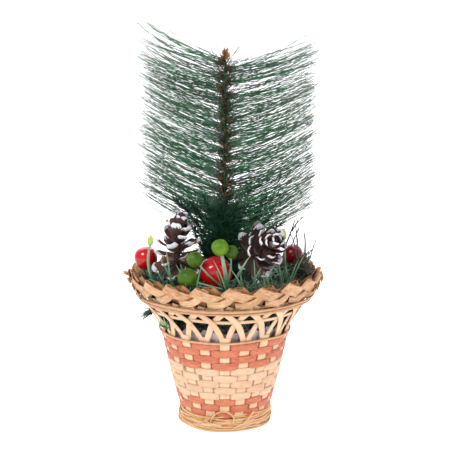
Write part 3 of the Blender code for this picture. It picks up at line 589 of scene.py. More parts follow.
# %% Rods and directions
def add_rod(shape, path, radius, own, sides=6):
    """A round rod along a path; radius may be a number or a function of the share along it."""
    rings = []
    last = len(path) - 1
    across = (path[1] - path[0]).orthogonal().normalized()
    travelled = 0.0
    for i, point in enumerate(path):
        way = (path[min(i + 1, last)] - path[max(i - 1, 0)]).normalized()
        face = way.cross(across).normalized()
        across = face.cross(way).normalized()
        size = radius(i / last) if callable(radius) else radius
        travelled += (point - path[max(i - 1, 0)]).length
        points, lays = [], []
        for s in range(sides):
            turn = TURN * s / sides
            points.append(point + (across * math.cos(turn) + face * math.sin(turn)) * size)
            lays.append((travelled * LAY_PER_METRE, math.cos(turn), own))
        rings.append((points, lays))
    shape.sweep(rings)


def out(angle):
    return Vector((math.cos(angle), math.sin(angle), 0.0))


def around(angle):
    return Vector((-math.sin(angle), math.cos(angle), 0.0))


UP = Vector((0, 0, 1))
print("front of the basket faces", tuple(round(v) for v in out(-TURN / 4)))

# %% [markdown]
# ## The basket's wall
# The rows and hoops of the frame give the wall's radius at any height: a straight taper up to the waist,
# and a flare above it to the lip. One function holds that curve for everything that follows.

# %% Wall curve
STAKES = 20
ROWS = 12
ROW_NAMES = [f"weaver_row_{i + 1:02d}" for i in range(ROWS)]
FLARE_POWER = 1.25


def middle_radius(node):
    """A round node's mean half width, and its mid height."""
    low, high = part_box(node)
    return (high.x - low.x + high.y - low.y) / 4, (low.z + high.z) / 2


row_swing = 1.6 * MM  # how far a row's outside stands off the wall's middle, over a stake
lip_inset = 1.7 * MM  # from the arms' outer faces to the wall's middle, at the lip
first_radius, first_z = middle_radius(ROW_NAMES[0])
last_radius, last_z = middle_radius(ROW_NAMES[-1])
waist_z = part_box("waist_hoop")[1].z
cage_low, cage_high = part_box("stake_cage")
lip_z = cage_high.z
lip_radius = cage_high.x - lip_inset
taper = (last_radius - first_radius) / (last_z - first_z)
row_pitch = (last_z - first_z) / (ROWS - 1)


def wall(z):
    """Radius of the middle of the wall at a height; it swells a little below the waist and at it."""
    level_share = min(1.0, max(0.0, (z - first_z) / (waist_z - first_z)))
    swell = (1.1 * math.sin(math.pi * level_share) + 1.5 * level_share**7) * MM
    straight = first_radius - row_swing + (min(z, waist_z) - first_z) * taper + swell
    share = max(0.0, (z - waist_z) / (lip_z - waist_z))
    return straight + (lip_radius - straight) * share**FLARE_POWER


def wall_frame(angle, z):
    """Outward normal and upward tangent of the wall."""
    rise = Vector((wall(z + MM) - wall(z - MM), 2 * MM)).normalized()
    up = out(angle) * rise.x + UP * rise.y
    normal = out(angle) * rise.y - UP * rise.x
    return normal, up


print("wall radius in mm at foot, waist, lip:", [round(wall(z) / MM, 1) for z in (first_z, waist_z, lip_z)])

# %% [markdown]
# ## Stakes and lattice
# The stakes are flat splints that cross under the basket, turn up at the heel and stand through the
# weave. They weave as much as the rows do: each leans out where a row passes inside it, and in where one
# passes outside it.

# %% Stakes
STAKE_HALF_WIDTH = 3.15 * MM
SPLINT_HALF_THICK = 0.4 * MM
STAKE_SWING = 0.35 * MM
STAKE_PAST_WAIST = 2.5 * MM  # how far a stake runs on above the waist before it is two arms
FLOOR_LAYER = 0.09 * MM  # each crossing splint of the floor lies this much above the last
rng = random.Random(11)
cage = Shape()
heel_z = first_z - 2.5 * MM
heel_radius = wall(heel_z)
floor_z = cage_low.z + 0.6 * MM


def stake_swing(k, z):
    """How far a stake stands out at a height: outward where a row passes inside it."""
    rows_up = (min(max(z, first_z), last_z) - first_z) / row_pitch
    return STAKE_SWING * math.cos(math.pi * (k + rows_up))


def add_stake(shape, k):
    """A stake from the middle of the floor to the waist, where it is about to split."""
    angle = k * TURN / STAKES + rng.uniform(-0.010, 0.010)
    layer = floor_z + (k % (STAKES // 2)) * FLOOR_LAYER
    stations = []
    for share in (0.0, 0.5, 0.9):
        centre = out(angle) * (heel_radius - 2.2 * MM) * share + UP * layer
        stations.append((centre, around(angle), -UP, STAKE_HALF_WIDTH, 0.25 * MM))
    bend = out(angle) * (heel_radius - 0.5 * MM) + UP * (layer + 0.8 * MM)
    stations.append((bend, around(angle), (out(angle) - UP).normalized(), STAKE_HALF_WIDTH, 0.3 * MM))
    heights = 4 * ROWS + 6
    for i in range(heights + 1):
        z = heel_z + (waist_z + STAKE_PAST_WAIST - heel_z) * i / heights
        normal = wall_frame(angle, z)[0]
        centre = out(angle) * (wall(z) + stake_swing(k, z)) + UP * z
        stations.append((centre, around(angle), normal, STAKE_HALF_WIDTH, SPLINT_HALF_THICK))
    add_strip(shape, stations, rng.random(), bow=0.15 * MM)


print("stakes run from", round(heel_z / MM, 1), "to", round((waist_z + STAKE_PAST_WAIST) / MM, 1), "mm")

# %% [markdown]
# At the waist each stake is split in two, and the halves lean away to cross their neighbours: first
# midway between two stakes, then again above the next stake, just under the rim. Those that lean one way
# run outside the level hoop and the others inside it, so they are set out of and into the wall by a hair.

# %% Lattice
# The route of an arm: (stake spacings moved sideways, share of the lattice's height)
ARM_PATH = (
    (0.13, 0.0), (0.19, 0.13), (0.34, 0.36), (0.5, 0.56),
    (0.74, 0.73), (1.0, 0.89), (1.12, 0.97), (1.18, 1.04),
)
ARM_STEPS = 18
ARM_LIFT = 0.75 * MM  # how far an arm stands off the wall's middle, out or in
ARM_ROOT_HALF_WIDTH = 1.6 * MM


def arm_point(share):
    """Sideways move in stake spacings and height share, at a share of the arm's length."""
    spot = share * (len(ARM_PATH) - 1)
    i = min(int(spot), len(ARM_PATH) - 2)
    a, b = ARM_PATH[i], ARM_PATH[i + 1]
    t = spot - i
    return a[0] + (b[0] - a[0]) * t, a[1] + (b[1] - a[1]) * t


def add_arm(shape, k, lean):
    """A half splint that leans to one side (+1 or -1) up to the rim."""
    own = rng.random()
    sag = rng.uniform(-0.03, 0.03)
    spots = []
    for i in range(ARM_STEPS + 1):
        move, height = arm_point(i / ARM_STEPS)
        z = waist_z + height * (lip_z - waist_z)
        angle = (k + lean * (move + sag * math.sin(math.pi * i / ARM_STEPS))) * TURN / STAKES
        lift = -lean * ARM_LIFT * min(1.0, 3 * i / ARM_STEPS)
        spots.append((angle, z, lift))
    stations = []
    for i, (angle, z, lift) in enumerate(spots):
        normal = wall_frame(angle, z)[0]
        centre = out(angle) * wall(z) + UP * z + normal * lift
        a, b = spots[max(i - 1, 0)], spots[min(i + 1, ARM_STEPS)]
        ahead = out(b[0]) * wall(b[1]) + UP * b[1] - out(a[0]) * wall(a[1]) - UP * a[1]
        side = ahead.cross(normal).normalized()
        half = ARM_ROOT_HALF_WIDTH + 0.45 * min(1.0, 3.0 * i / ARM_STEPS) * MM
        stations.append((centre, side, normal, half, 0.36 * MM))
    add_strip(shape, stations, own, bow=0.08 * MM)


for k in range(STAKES):
    add_stake(cage, k)
    for lean in (-1, 1):
        add_arm(cage, k, lean)
cage.piece("stakes_and_lattice", "basket", pale_splint, "natural_splint", ("stake_cage",))

# %% [markdown]
# ## Woven rows
# A row is one long splint that passes outside one stake and inside the next; the row above does the
# opposite. It could be drawn as bumps on a cone, but the dark corners where a row dives behind a stake
# only come from real strips. Its two ends overlap behind a stake, as the weaver leaves them.

# %% Row swing
ROW_HALF_THICK = 0.36 * MM
ROW_STEPS = 18  # stations in one stake spacing
ROW_LAP = 1.2  # stake spacings by which a row's two ends overlap


def row_swing_at(stake, row):
    """-1 inside a stake, +1 outside the next, turning sharply at the edges of the stake it goes behind. The
    second value is the soft crown of the stretch in front."""
    spot = (stake + row) % 2
    from_inside = min(spot, 2 - spot)
    edge = STAKE_HALF_WIDTH / (wall(first_z + row * row_pitch) * TURN / STAKES)
    rise = min(1.0, max(0.0, (from_inside - edge + 0.03) / 0.17))
    crown = math.sin(math.pi / 2 * min(1.0, max(0.0, (from_inside - edge) / (1 - edge))))
    return (3 * rise**2 - 2 * rise**3) * 2 - 1, crown


print("swing and crown behind a stake:", row_swing_at(0, 0), "and in front:", row_swing_at(1, 0))

# %% [markdown]
# Three rows at the foot are pink, then five are straw coloured and four more pink ones end at the waist.

# %% Woven rows
def add_row(shape, row):
    """A row with its ends lapped, wandering a little up and down from stake to stake."""
    low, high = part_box(ROW_NAMES[row])
    middle = (low.z + high.z) / 2
    half_height = (high.z - low.z) / 2 + 0.42 * MM
    start = rng.randrange(STAKES) + 0.5
    steps = int(ROW_STEPS * (STAKES + ROW_LAP))
    wobble = [rng.uniform(-1, 1) for _ in range(STAKES)]
    stations = []
    for i in range(steps + 1):
        stake = start + i / ROW_STEPS
        angle = stake * TURN / STAKES
        swing, crown = row_swing_at(stake, row)
        reach = (0.62 * swing + 0.45 * crown) * MM
        left, right = wobble[int(stake) % STAKES], wobble[(int(stake) + 1) % STAKES]
        lift = (left + (right - left) * (stake % 1.0)) * 0.5 * MM
        tuck = 0.6 * MM * max(0.0, 1 - i / ROW_STEPS)
        z = middle + lift
        normal, up = wall_frame(angle, z)
        centre = out(angle) * (wall(z) + reach - tuck) + UP * z
        tilt = (up - normal * 0.06).normalized()
        half = half_height * (0.93 + 0.1 * crown)
        stations.append((centre, tilt, around(angle).cross(tilt), half, ROW_HALF_THICK))
    add_strip(shape, stations, rng.random(), bow=0.2 * MM)


STRAW_ROWS = range(3, 8)  # the five rows between the pink ones
for row, name in enumerate(ROW_NAMES):
    strip = Shape()
    add_row(strip, row)
    straw = row in STRAW_ROWS
    finish = straw_splint if straw else pink_splint
    slot = "natural_splint" if straw else "pink_splint"
    strip.piece(f"woven_row_{row + 1:02d}", "basket", finish, slot, (name,))

# %% [markdown]
# ## Hoops
# Thin round cane is bound on top of the weave, a flat splint runs level through the lattice, and a bundle
# of narrow splints clamps the arms under the rim. Each hoop wavers a little, since it is only held where
# it crosses something.

# %% Hoops
HOOP_STEPS = 72


def add_hoop(shape, z, offset, half_height, half_thick, waver, own, loops=1.0, start=0.0):
    """A flat hoop that follows the wall at an offset, wavering up and down."""
    steps = int(HOOP_STEPS * loops)
    phase = rng.uniform(0, TURN)
    stations = []
    for i in range(steps + 1):
        angle = start + TURN * loops * i / steps
        here_z = z + waver * (math.sin(3 * angle + phase) + 0.6 * math.sin(7 * angle + 2 * phase))
        normal, up = wall_frame(angle, here_z)
        stand_off = offset + 0.15 * MM * math.sin(5 * angle + phase)
        centre = out(angle) * wall(here_z) + UP * here_z + normal * stand_off
        stations.append((centre, up, normal, half_height, half_thick))
    add_strip(shape, stations, own)


hoop = Shape()
add_hoop(hoop, waist_z - 0.5 * MM, 1.55 * MM, 0.65 * MM, 0.5 * MM, 0.3 * MM, 0.3, 1.04)
hoop.piece("waist_cane", "basket", tan_splint, "natural_splint", ("waist_hoop",))

lattice_low, lattice_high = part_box("lattice_hoop")
lattice_z = (lattice_low.z + lattice_high.z) / 2
level = Shape()
add_hoop(level, lattice_z - 1.2 * MM, 0.0, 1.3 * MM, 0.25 * MM, 0.2 * MM, 0.6, 1.05)
level.piece("lattice_band", "basket", pale_splint, "natural_splint", ("lattice_hoop",))

rim_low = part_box("rim_hoop_outer")[0]
outer = Shape()
for i in range(4):
    z = rim_low.z + 1.4 * MM + i * 1.1 * MM
    offset = (1.7 + 0.45 * (i % 2)) * MM
    own, start = rng.random(), rng.uniform(0, 6)
    add_hoop(outer, z, offset, 0.62 * MM, 0.45 * MM, 0.3 * MM, own, 1.03, start)
outer.piece("rim_bundle_outer", "basket", tan_splint, "natural_splint", ("rim_hoop_outer",))
inner = Shape()
for i in range(2):
    z = rim_low.z + (0.6 + i * 2.2) * MM
    add_hoop(inner, z, -2.0 * MM, 1.2 * MM, 0.4 * MM, 0.2 * MM, rng.random(), 1.03)
inner.piece("rim_bundle_inner", "basket", tan_splint, "natural_splint", ("rim_hoop_inner",))

# %% [markdown]
# ## Rim
# The wide ends of the splints are plaited into a border. It is easiest to draw on a flat band first, with
# s along the rim, u up its face and w out of it, all in mm. One function wraps that band round the lip,
# and leans it outward as the real border leans.

# %% Rim band
TEETH = 20
plait_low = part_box("rim_plait_strand_1")[0]
RIM_LEAN = math.radians(24)
rim_foot_radius = lip_radius + 1.3 * MM
rim_foot_z = plait_low.z + 1.6 * MM
RIM_SQUASH = 0.84  # how far the plait has been pushed down
rim_mean_radius = rim_foot_radius + 8 * MM * math.sin(RIM_LEAN)
TOOTH = TURN * rim_mean_radius / TEETH / MM
FIRST_TOOTH = 2.3  # how far the teeth are turned from the stakes, in mm along the rim


def on_rim(s, u, w):
    """A point of the flat band, wrapped round the lip."""
    angle = s * MM / rim_mean_radius
    u = u * RIM_SQUASH
    radius = rim_foot_radius + (u * math.sin(RIM_LEAN) + w * math.cos(RIM_LEAN)) * MM
    return out(angle) * radius + UP * (rim_foot_z + (u * math.cos(RIM_LEAN) - w * math.sin(RIM_LEAN)) * MM)


print("rim teeth are", round(TOOTH, 1), "mm apart")

# %% [markdown]
# From outside you see two kinds of faces: upper ones that fold over the top and run down to the right,
# and lower ones that climb up to the right and dive under them. Every fold makes one tooth of the zigzag
# top. The inside shows the same faces mirrored in a darker finish, which is painted shade, over dark
# bands that are painted shade closing the gaps between them.

# %% Rim strips
# Routes of (s, u, w). The upper one starts behind, rolls over the fold and runs down to the right; its
# side direction is the fold's, so the strip leaves the fold at a slant as a folded strip does.
UPPER_FACE = (
    (0.4, 10.1, -0.9), (-1.7, 11.8, -0.9), (-2.5, 12.5, 0.0), (-1.7, 11.9, 0.85), (1.2, 10.8, 1.35),
    (5.5, 8.9, 1.6), (10.0, 6.9, 1.25), (13.5, 5.4, 0.4), (16.5, 4.1, -0.5), (18.8, 3.1, -0.9),
)
FOLD = (0.64, 0.77)  # direction of the fold's crease on the band
LOWER_FACE = (
    (-14, -0.4, -0.4), (-10, 0.4, 0.8), (-5, 2.2, 1.75), (-1.2, 4.9, 1.7),
    (1.4, 7.4, 0.5), (3.4, 10.2, -0.4), (5, 13.0, -0.6),
)
# The bands behind the faces are dark, painted shade that closes the gaps.
PAINTED_SHADE_BANDS = ((3.6, -1.5), (7.4, -1.7))  # (u, w) of the bands behind the faces
INNER_SHIFT = -2.6  # w of the band's inner side, where the mirrored faces lie
INNER_DROP = 1.2  # how much lower the mirrored faces lie


def rim_stations(route, half_width, half_thick, fold=None, steps=4):
    """Stations of a strip laid along a route on the band, square to it or slanted along a fold."""
    spots = []
    for a, b in zip(route, route[1:]):
        spots += [tuple(p + (q - p) * i / steps for p, q in zip(a, b)) for i in range(steps)]
    spots.append(route[-1])
    stations = []
    last = len(spots) - 1
    for i, spot in enumerate(spots):
        ahead = on_rim(*spots[min(i + 1, last)]) - on_rim(*spots[max(i - 1, 0)])
        if fold:
            side = (on_rim(spot[0] + fold[0], spot[1] + fold[1], spot[2]) - on_rim(*spot)).normalized()
        else:
            outward = on_rim(spot[0], spot[1], spot[2] + 1) - on_rim(*spot)
            side = ahead.cross(outward).normalized()
        stations.append((on_rim(*spot), side, side.cross(ahead).normalized(), half_width, half_thick))
    return stations


print("an upper face runs over", round(UPPER_FACE[-1][0] - UPPER_FACE[0][0], 1), "mm of the rim")

# %% [markdown]
# Each strip gets a little play in its place, height and width, because the border is made by hand.

# %% Rim
def add_tooth(shape, tooth, route, half_width, fold=None, mirrored=False):
    """One strip of the border at a tooth, with a little play in its place and width."""
    shift, raise_up = rng.uniform(-0.8, 0.8) + FIRST_TOOTH, rng.uniform(-0.4, 0.4)
    flip = -1 if mirrored else 1
    offset = 0.5 if mirrored else 0.0
    moved = []
    for s, u, w in route:
        place = (tooth + offset) * TOOTH + flip * s + shift
        height = u + raise_up - (INNER_DROP if mirrored else 0.0)
        moved.append((place, height, INNER_SHIFT - w if mirrored else w))
    slant = (flip * fold[0], fold[1]) if fold else None
    stations = rim_stations(moved, half_width * rng.uniform(0.95, 1.04), 0.32 * MM, slant)
    add_strip(shape, stations, rng.random(), bow=0.1 * MM)


upper, lower, inside = Shape(), Shape(), Shape()
for tooth in range(TEETH):
    add_tooth(upper, tooth, UPPER_FACE, 3.9 * MM, FOLD)
    add_tooth(lower, tooth, LOWER_FACE, 2.5 * MM)
    add_tooth(inside, tooth, UPPER_FACE, 3.8 * MM, FOLD, mirrored=True)
    add_tooth(inside, tooth, LOWER_FACE, 3.0 * MM, mirrored=True)
# Dark bands behind the faces, painted shade in the gaps between them.
for u, w in PAINTED_SHADE_BANDS:
    band = [(TOOTH * i / 2, u, w) for i in range(2 * TEETH + 1)]
    add_strip(inside, rim_stations(band, 1.9 * MM, 0.25 * MM, steps=2), rng.random())
upper.piece("rim_upper_faces", "basket", tan_splint, "natural_splint", ("rim_plait_strand_1",))
lower.piece("rim_lower_faces", "basket", tan_splint, "natural_splint", ("rim_plait_strand_2",))
inside.piece("rim_inner_faces", "basket", painted_shade_splint, "natural_splint", ("rim_plait_strand_3",))

# %% [markdown]
# Where the strips run out, their ends are left sticking out of the border at both sides.

# %% Loose rim ends
# (degrees round the rim, height up its face in mm, heading up or down, length in mm)
LOOSE_ENDS = (
    (186, 8, 0.6, 11), (191, 4, 0.3, 12), (181, 11, 1.0, 9), (197, 2, -0.2, 10), (176, 6, 0.2, 8),
    (-6, 9, -0.7, 12), (-12, 6, -0.3, 11), (-1, 12, -0.5, 9), (5, 8, -0.9, 10), (-17, 3, 0.2, 9),
)
ends = Shape()
for degrees, up_face, climb, length in LOOSE_ENDS:
    s = math.radians(degrees) * rim_mean_radius / MM
    way = 1 if degrees > 90 else -1
    route = []
    for i in range(6):
        t = i / 5
        route.append((s + way * length * t, up_face + climb * length * t * 0.6, 1.0 + 2.6 * t))
    add_strip(ends, rim_stations(route, rng.uniform(1.0, 2.2) * MM, 0.28 * MM), rng.random())
ends.piece("rim_loose_ends", "basket", pale_splint, "natural_splint")

# %% [markdown]
# ## Foot
# The basket stands on a coil of thin splints. They cross and slip over each other, and one has sprung
# loose at the front and loops over the lowest row.

# %% Foot
foot_low, foot_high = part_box("foot_ring")
foot_radius = (foot_high.x - foot_low.x) / 2
foot_height = foot_high.z - foot_low.z
FOOT_SPLINTS = 20
COIL_STEPS = 96
coil = Shape()
for i in range(FOOT_SPLINTS):
    row, lane = divmod(i, 2)
    base_z = foot_low.z + 0.5 * MM + row * (foot_height + 0.8 * MM) / 9
    radius = foot_radius - (0.3 + lane * 0.9) * MM - 0.1 * MM * row
    phase = rng.uniform(0, TURN)
    slip = rng.choice((2, 3, 3, 4))
    stations = []
    for j in range(COIL_STEPS + 1):
        angle = TURN * 1.02 * j / COIL_STEPS + phase
        wave = math.sin(slip * angle + phase)
        z = max(base_z + 0.9 * MM * wave * (1 if row else 0.3), foot_low.z + 0.45 * MM)
        centre = out(angle) * (radius + 0.4 * MM * math.sin(5 * angle + phase)) + UP * z
        stations.append((centre, UP, out(angle), 0.5 * MM, 0.38 * MM))
    add_strip(coil, stations, rng.random())
coil.piece("foot_coil", "basket", foot_splint, "natural_splint", ("foot_ring",))

# %% [markdown]
# The splints that have sprung loose are rods along routes round the foot. The first is the loop at the
# front; the others cross the coil at a slant. Each route is smoothed by averaging neighbouring spots.

# %% Loose splints at the foot
# Routes of (degrees round the foot, height in mm)
LOOSE_LOOPS = (
    (
        (-107, 6.6), (-106, 9.0), (-102, 12.2), (-96, 14.2), (-89, 14.4),
        (-83, 12.6), (-79.5, 9.6), (-80, 7.2), (-84, 6.2),
    ),
    (
        (-122, 7.0), (-117, 6.0), (-111, 7.6), (-108, 9.4), (-111, 10.0),
        (-113, 7.6), (-104, 4.6), (-92, 3.6), (-78, 3.4),
    ),
    ((-70, 4.2), (-63, 7.6), (-57, 11.4), (-54, 13.0)),
    ((-140, 5.5), (-128, 7.2), (-116, 5.0), (-104, 5.6), (-92, 4.4)),
    ((-82, 2.4), (-70, 5.0), (-58, 6.8), (-44, 6.0), (-30, 7.0)),
)
loops = Shape()
for route in LOOSE_LOOPS:
    spots = []
    for (a, za), (b, zb) in zip(route, route[1:]):
        spots += [(a + (b - a) * i / 6, za + (zb - za) * i / 6) for i in range(6)]
    spots.append(route[-1])
    path = []
    for i, (degrees, z) in enumerate(spots):
        near = spots[max(i - 2, 0) : i + 3]
        degrees = sum(n[0] for n in near) / len(near)
        z = sum(n[1] for n in near) / len(near)
        stand_off = foot_radius + (0.7 + 0.8 * math.sin(math.pi * i / len(spots))) * MM
        path.append(out(math.radians(degrees)) * stand_off + UP * z * MM)
    add_rod(loops, path, 0.5 * MM, rng.random())
loops.piece("foot_loose_splints", "basket", foot_splint, "natural_splint", ("foot_twine",))

# %% [markdown]
# ## Liner and foam
# A film pocket keeps the foam from showing through the weave. Film crumples into facets, so its radius is
# pushed in and out by a few waves that do not repeat. Both pocket and foam follow the wall up to the
# waist and no further out, and the pocket's crumpled edge shows through the lattice just above it.

# %% Pocket measures
LINER_SHOWS = 5.5 * MM  # how far the pocket's edge stands above the waist
POCKET_FLARE = 3.5 * MM  # how much wider than the waist it gets
LINER_GAP = 3.2 * MM  # from the wall's middle to the film's outer face
FILM_THICK = 0.6 * MM
LINER_LEVELS = 20
FOAM_GAP = 5.0 * MM
FOAM_LEVELS = 12

liner_low, liner_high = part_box("basket_liner")
foam_low, foam_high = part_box("foam_block")


def solid_of_rings(shape, rings, columns):
    """Closes a stack of round rings, each a function of the angle that gives radius and height."""
    made = []
    for ring in rings:
        points, lays = [], []
        for c in range(columns):
            angle = TURN * c / columns
            radius, z = ring(angle)
            points.append(out(angle) * radius + UP * z)
            lays.append((z * LAY_PER_METRE, math.cos(angle), 0.5))
        made.append((points, lays))
    shape.sweep(made)


def crumple(angle, level_share, depth):
    """A fold pattern that differs at every height."""
    a = math.sin(7 * angle + 9 * level_share) + math.sin(13 * angle - 17 * level_share + 1.0)
    return depth * (abs(a) - 1.0 + 0.5 * math.sin(23 * angle + 31 * level_share))


print("liner and foam stand", round((liner_high.z - foam_high.z) / MM, 1), "mm apart at the top")

# %% [markdown]
# The pocket is one closed skin: its rings run up the outer face and back down the inner one.

# %% Liner
def pocket_wall(z):
    """The wall's radius, but never much wider than the waist."""
    return min(wall(z), wall(waist_z) + POCKET_FLARE)


def liner_ring(share, wall_inset):
    """One ring of the pocket; its upper levels wave up and down as well as in and out."""

    def ring(angle):
        top = min(liner_high.z, waist_z + LINER_SHOWS)
        z = liner_low.z + 0.4 * MM + (top - liner_low.z) * share
        radius = pocket_wall(z) - wall_inset + crumple(angle, share, 0.45 * MM)
        wave = crumple(angle + 2, share, 2.0 * MM) * max(0.0, share - 0.7) / 0.3
        return radius, z + wave

    return ring


liner = Shape()
liner_rings = [liner_ring(i / LINER_LEVELS, LINER_GAP) for i in range(LINER_LEVELS + 1)]
liner_rings += [liner_ring(i / LINER_LEVELS, LINER_GAP + FILM_THICK) for i in range(LINER_LEVELS, 0, -1)]
solid_of_rings(liner, liner_rings, 96)
liner.piece("liner_pocket", "basket", liner_film, "liner_film", ("basket_liner",))

# %% [markdown]
# The foam is cut by hand, so its side is lumpy. Six rings close its top.

# %% Foam
def foam_ring(inset, z):
    """One ring of the foam block, a little lumpy."""

    def ring(angle):
        lump = 0.25 * MM * math.sin(9 * angle) * math.sin(5 * angle + 1)
        return max(0.4 * MM, pocket_wall(z) - inset + lump), z

    return ring


foam = Shape()
foam_height = foam_high.z - foam_low.z
foam_rings = []
for i in range(FOAM_LEVELS):
    foam_rings.append(foam_ring(FOAM_GAP, foam_low.z + 0.4 * MM + foam_height * i / FOAM_LEVELS))
for i in range(6):
    foam_rings.append(foam_ring((6.5 + i * 6.5) * MM, foam_high.z - 0.3 * MM))
solid_of_rings(foam, foam_rings, 64)
foam.piece("foam_plug", "basket", dry_foam, "dry_foam", ("foam_block",))

# %% [markdown]
# ## Garland
# The mouth is filled with coils of garland: a thin wire with short needles standing out of it all round.
# Each needle is a blade of its own. Their heading is drawn at random, but a needle that would poke
# through the rim is drawn again, since the rim holds them in.

# %% Garland needles
GARLAND_HALF_THICK = 0.12 * MM


def needle_path(root, way, length, droop, steps=3):
    """A path from a root that starts along way and sags."""
    points = []
    for i in range(steps + 1):
        t = i / steps
        points.append(root + way * length * t - UP * droop * t * t)
    return points


def inside_basket(point, slack=2.5 * MM):
    """Whether a point is at least slack inside the wall, or inside the leaning rim above it."""
    radius = math.hypot(point.x, point.y)
    if point.z > lip_z:
        limit = rim_foot_radius + (point.z - lip_z) * math.tan(RIM_LEAN)
    else:
        limit = wall(point.z)
    return radius < limit - slack


def random_way(spread_up=1.0):
    """A random direction, up more often than down."""
    turn = rng.uniform(0, TURN)
    height = rng.uniform(-0.5, 1.0) * spread_up
    flat = math.sqrt(max(0.0, 1 - height * height))
    return Vector((math.cos(turn) * flat, math.sin(turn) * flat, height))


def add_garland(shape, radius, z, thick, count, length):
    """A ring of needles round a coil of a radius, height and thickness."""
    for _ in range(count):
        angle = rng.uniform(0, TURN)
        turn = rng.uniform(0, TURN)
        ring_out = out(angle) * math.cos(turn) + UP * math.sin(turn)
        root = out(angle) * radius + UP * z + ring_out * thick * 0.35 * rng.random()
        for _ in range(6):
            way = (random_way() + ring_out * 0.6).normalized()
            reach = length * rng.uniform(0.7, 1.25)
            path = needle_path(root, way, reach, reach * rng.uniform(0.0, 0.3))
            if inside_basket(path[-1]) and path[-1].z > waist_z + 3 * MM:
                add_blade(shape, path, rng.uniform(0.28, 0.5) * MM, GARLAND_HALF_THICK, rng.random())
                break


print("garland needles are", 2 * GARLAND_HALF_THICK / MM, "mm thick")

# %% [markdown]
# The frame's two loops give the radius, height and thickness of the coil. Four more rings of needles are
# set round them, because the real coil is loose: it wells up at the rim, shows through the lattice and
# closes the gap between the loops.

# %% Garland loops
outer_low, outer_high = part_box("garland_outer_loop")
inner_low, inner_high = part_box("garland_inner_loop")
outer_thick = (outer_high.z - outer_low.z) / 2
outer_radius = (outer_high.x - outer_low.x) / 2 - outer_thick
inner_thick = (inner_high.z - inner_low.z) / 2
inner_radius = (inner_high.x - inner_low.x) / 2 - inner_thick
outer_z, inner_z = outer_low.z + outer_thick, inner_low.z + inner_thick
garland = Shape()
add_garland(garland, outer_radius, outer_z, outer_thick, 2000, 9.5 * MM)
add_garland(garland, outer_radius + 5.5 * MM, outer_z + 4 * MM, 4 * MM, 2200, 8.5 * MM)
add_garland(garland, wall(lattice_high.z) - 4 * MM, lattice_high.z + 1 * MM, 5 * MM, 2600, 7 * MM)
add_garland(garland, wall(lattice_low.z) - 5 * MM, waist_z + 9 * MM, 4 * MM, 1500, 6 * MM)
add_rod(garland, [out(TURN * i / 60) * outer_radius + UP * outer_z for i in range(60)], 0.8 * MM, 0.1)
garland.piece("garland_outer", "basket", garland_film, "garland_green", ("garland_outer_loop",))
inner_garland = Shape()
add_garland(inner_garland, inner_radius, inner_z, inner_thick, 1100, 12 * MM)
add_garland(inner_garland, (inner_radius + outer_radius) / 2, inner_z + 2 * MM, inner_thick, 1400, 12 * MM)
inner_garland.piece("garland_inner", "basket", garland_film, "garland_green", ("garland_inner_loop",))

# %% [markdown]
# On the right the coil's end stands up in a bush. Its needles point mostly upward, and those that would
# stand far out over the rim are left away.

# %% Bush
BUSH_NEEDLES = 760
bush = Shape()
for _ in range(BUSH_NEEDLES):
    heading = rng.uniform(0, TURN)
    root = Vector((50, rng.uniform(-16, 24), 97)) * MM + out(heading) * rng.uniform(0, 5) * MM
    root += UP * rng.uniform(-5, 8) * MM
    way = (random_way() + Vector((0.05, -0.1, 0.7))).normalized()
    path = needle_path(root, way, rng.uniform(5, 10) * MM, rng.uniform(0, 2) * MM)
    if inside_basket(path[-1], -1.5 * MM):
        add_blade(bush, path, rng.uniform(0.28, 0.5) * MM, GARLAND_HALF_THICK, rng.random())
bush.piece("garland_bush", "basket", bush_film, "garland_green")


# %% [markdown]
# All over the top the film has curled into ribbons that catch the light, and more of them lie against
# the lattice from inside. Their pale colour is painted highlight. A curled path turns its heading a
# little at each step.

# %% Curls
TOP_CURLS = 700
LATTICE_CURLS = 420


def curl_path(root, way, length, curl, steps=4):
    """A short path that starts along way and is bent towards curl."""
    points, here_point, heading = [root], root, way
    for _ in range(steps):
        here_point = here_point + heading * length / steps
        points.append(here_point)
        heading = (heading + curl / steps).normalized()
    return points


curls = Shape()
for _ in range(TOP_CURLS):
    angle = rng.uniform(0, TURN)
    root = out(angle) * rng.uniform(26, 55) * MM + UP * (outer_z + rng.uniform(2, 10) * MM)
    way = random_way(0.9)
    curl = Vector((rng.uniform(-2, 2), rng.uniform(-2, 2), rng.uniform(-1.6, 1.0)))
    path = curl_path(root, way, rng.uniform(9, 18) * MM, curl, 7)
    if all(inside_basket(point, 1.5 * MM) for point in path):
        add_blade(curls, path, rng.uniform(0.35, 0.75) * MM, 0.12 * MM, rng.random(), taper=0.4)
for _ in range(LATTICE_CURLS):
    angle = rng.uniform(0, TURN)
    z = lattice_low.z + rng.uniform(-5, 7) * MM
    root = out(angle) * (wall(z) - 4.5 * MM) + UP * z
    way = around(angle) * rng.choice((-1, 1)) + UP * rng.uniform(-0.7, 0.7) + out(angle) * 0.3
    way = way.normalized()
    path = curl_path(root, way, rng.uniform(5, 9) * MM, UP * rng.uniform(-1, 1) - out(angle), 5)
    if all(inside_basket(point, 1.4 * MM) for point in path):
        add_blade(curls, path, rng.uniform(0.3, 0.6) * MM, 0.12 * MM, rng.random(), taper=0.4)
curls.piece("curled_film", "basket", highlit_curl_film, "garland_green")

# %% [markdown]
# A sprig of the garland has worked its way out through the lattice on the left, and a brighter leaf with
# it.

# %% Stray sprigs
stray = Shape()
for i in range(26):
    angle = math.radians(183 + rng.uniform(0, 9))
    root = out(angle) * (wall(lattice_z) - 2 * MM) + UP * (lattice_z - 5 * MM + rng.uniform(-2, 2) * MM)
    way = out(angle) + UP * rng.uniform(-1.1, 0.1) + around(angle) * rng.uniform(-0.5, 0.5)
    path = needle_path(root, way.normalized(), rng.uniform(6, 10) * MM, 1.5 * MM)
    add_blade(stray, path, 0.4 * MM, GARLAND_HALF_THICK, rng.random())
stray.piece("stray_sprig", "basket", garland_film, "garland_green")

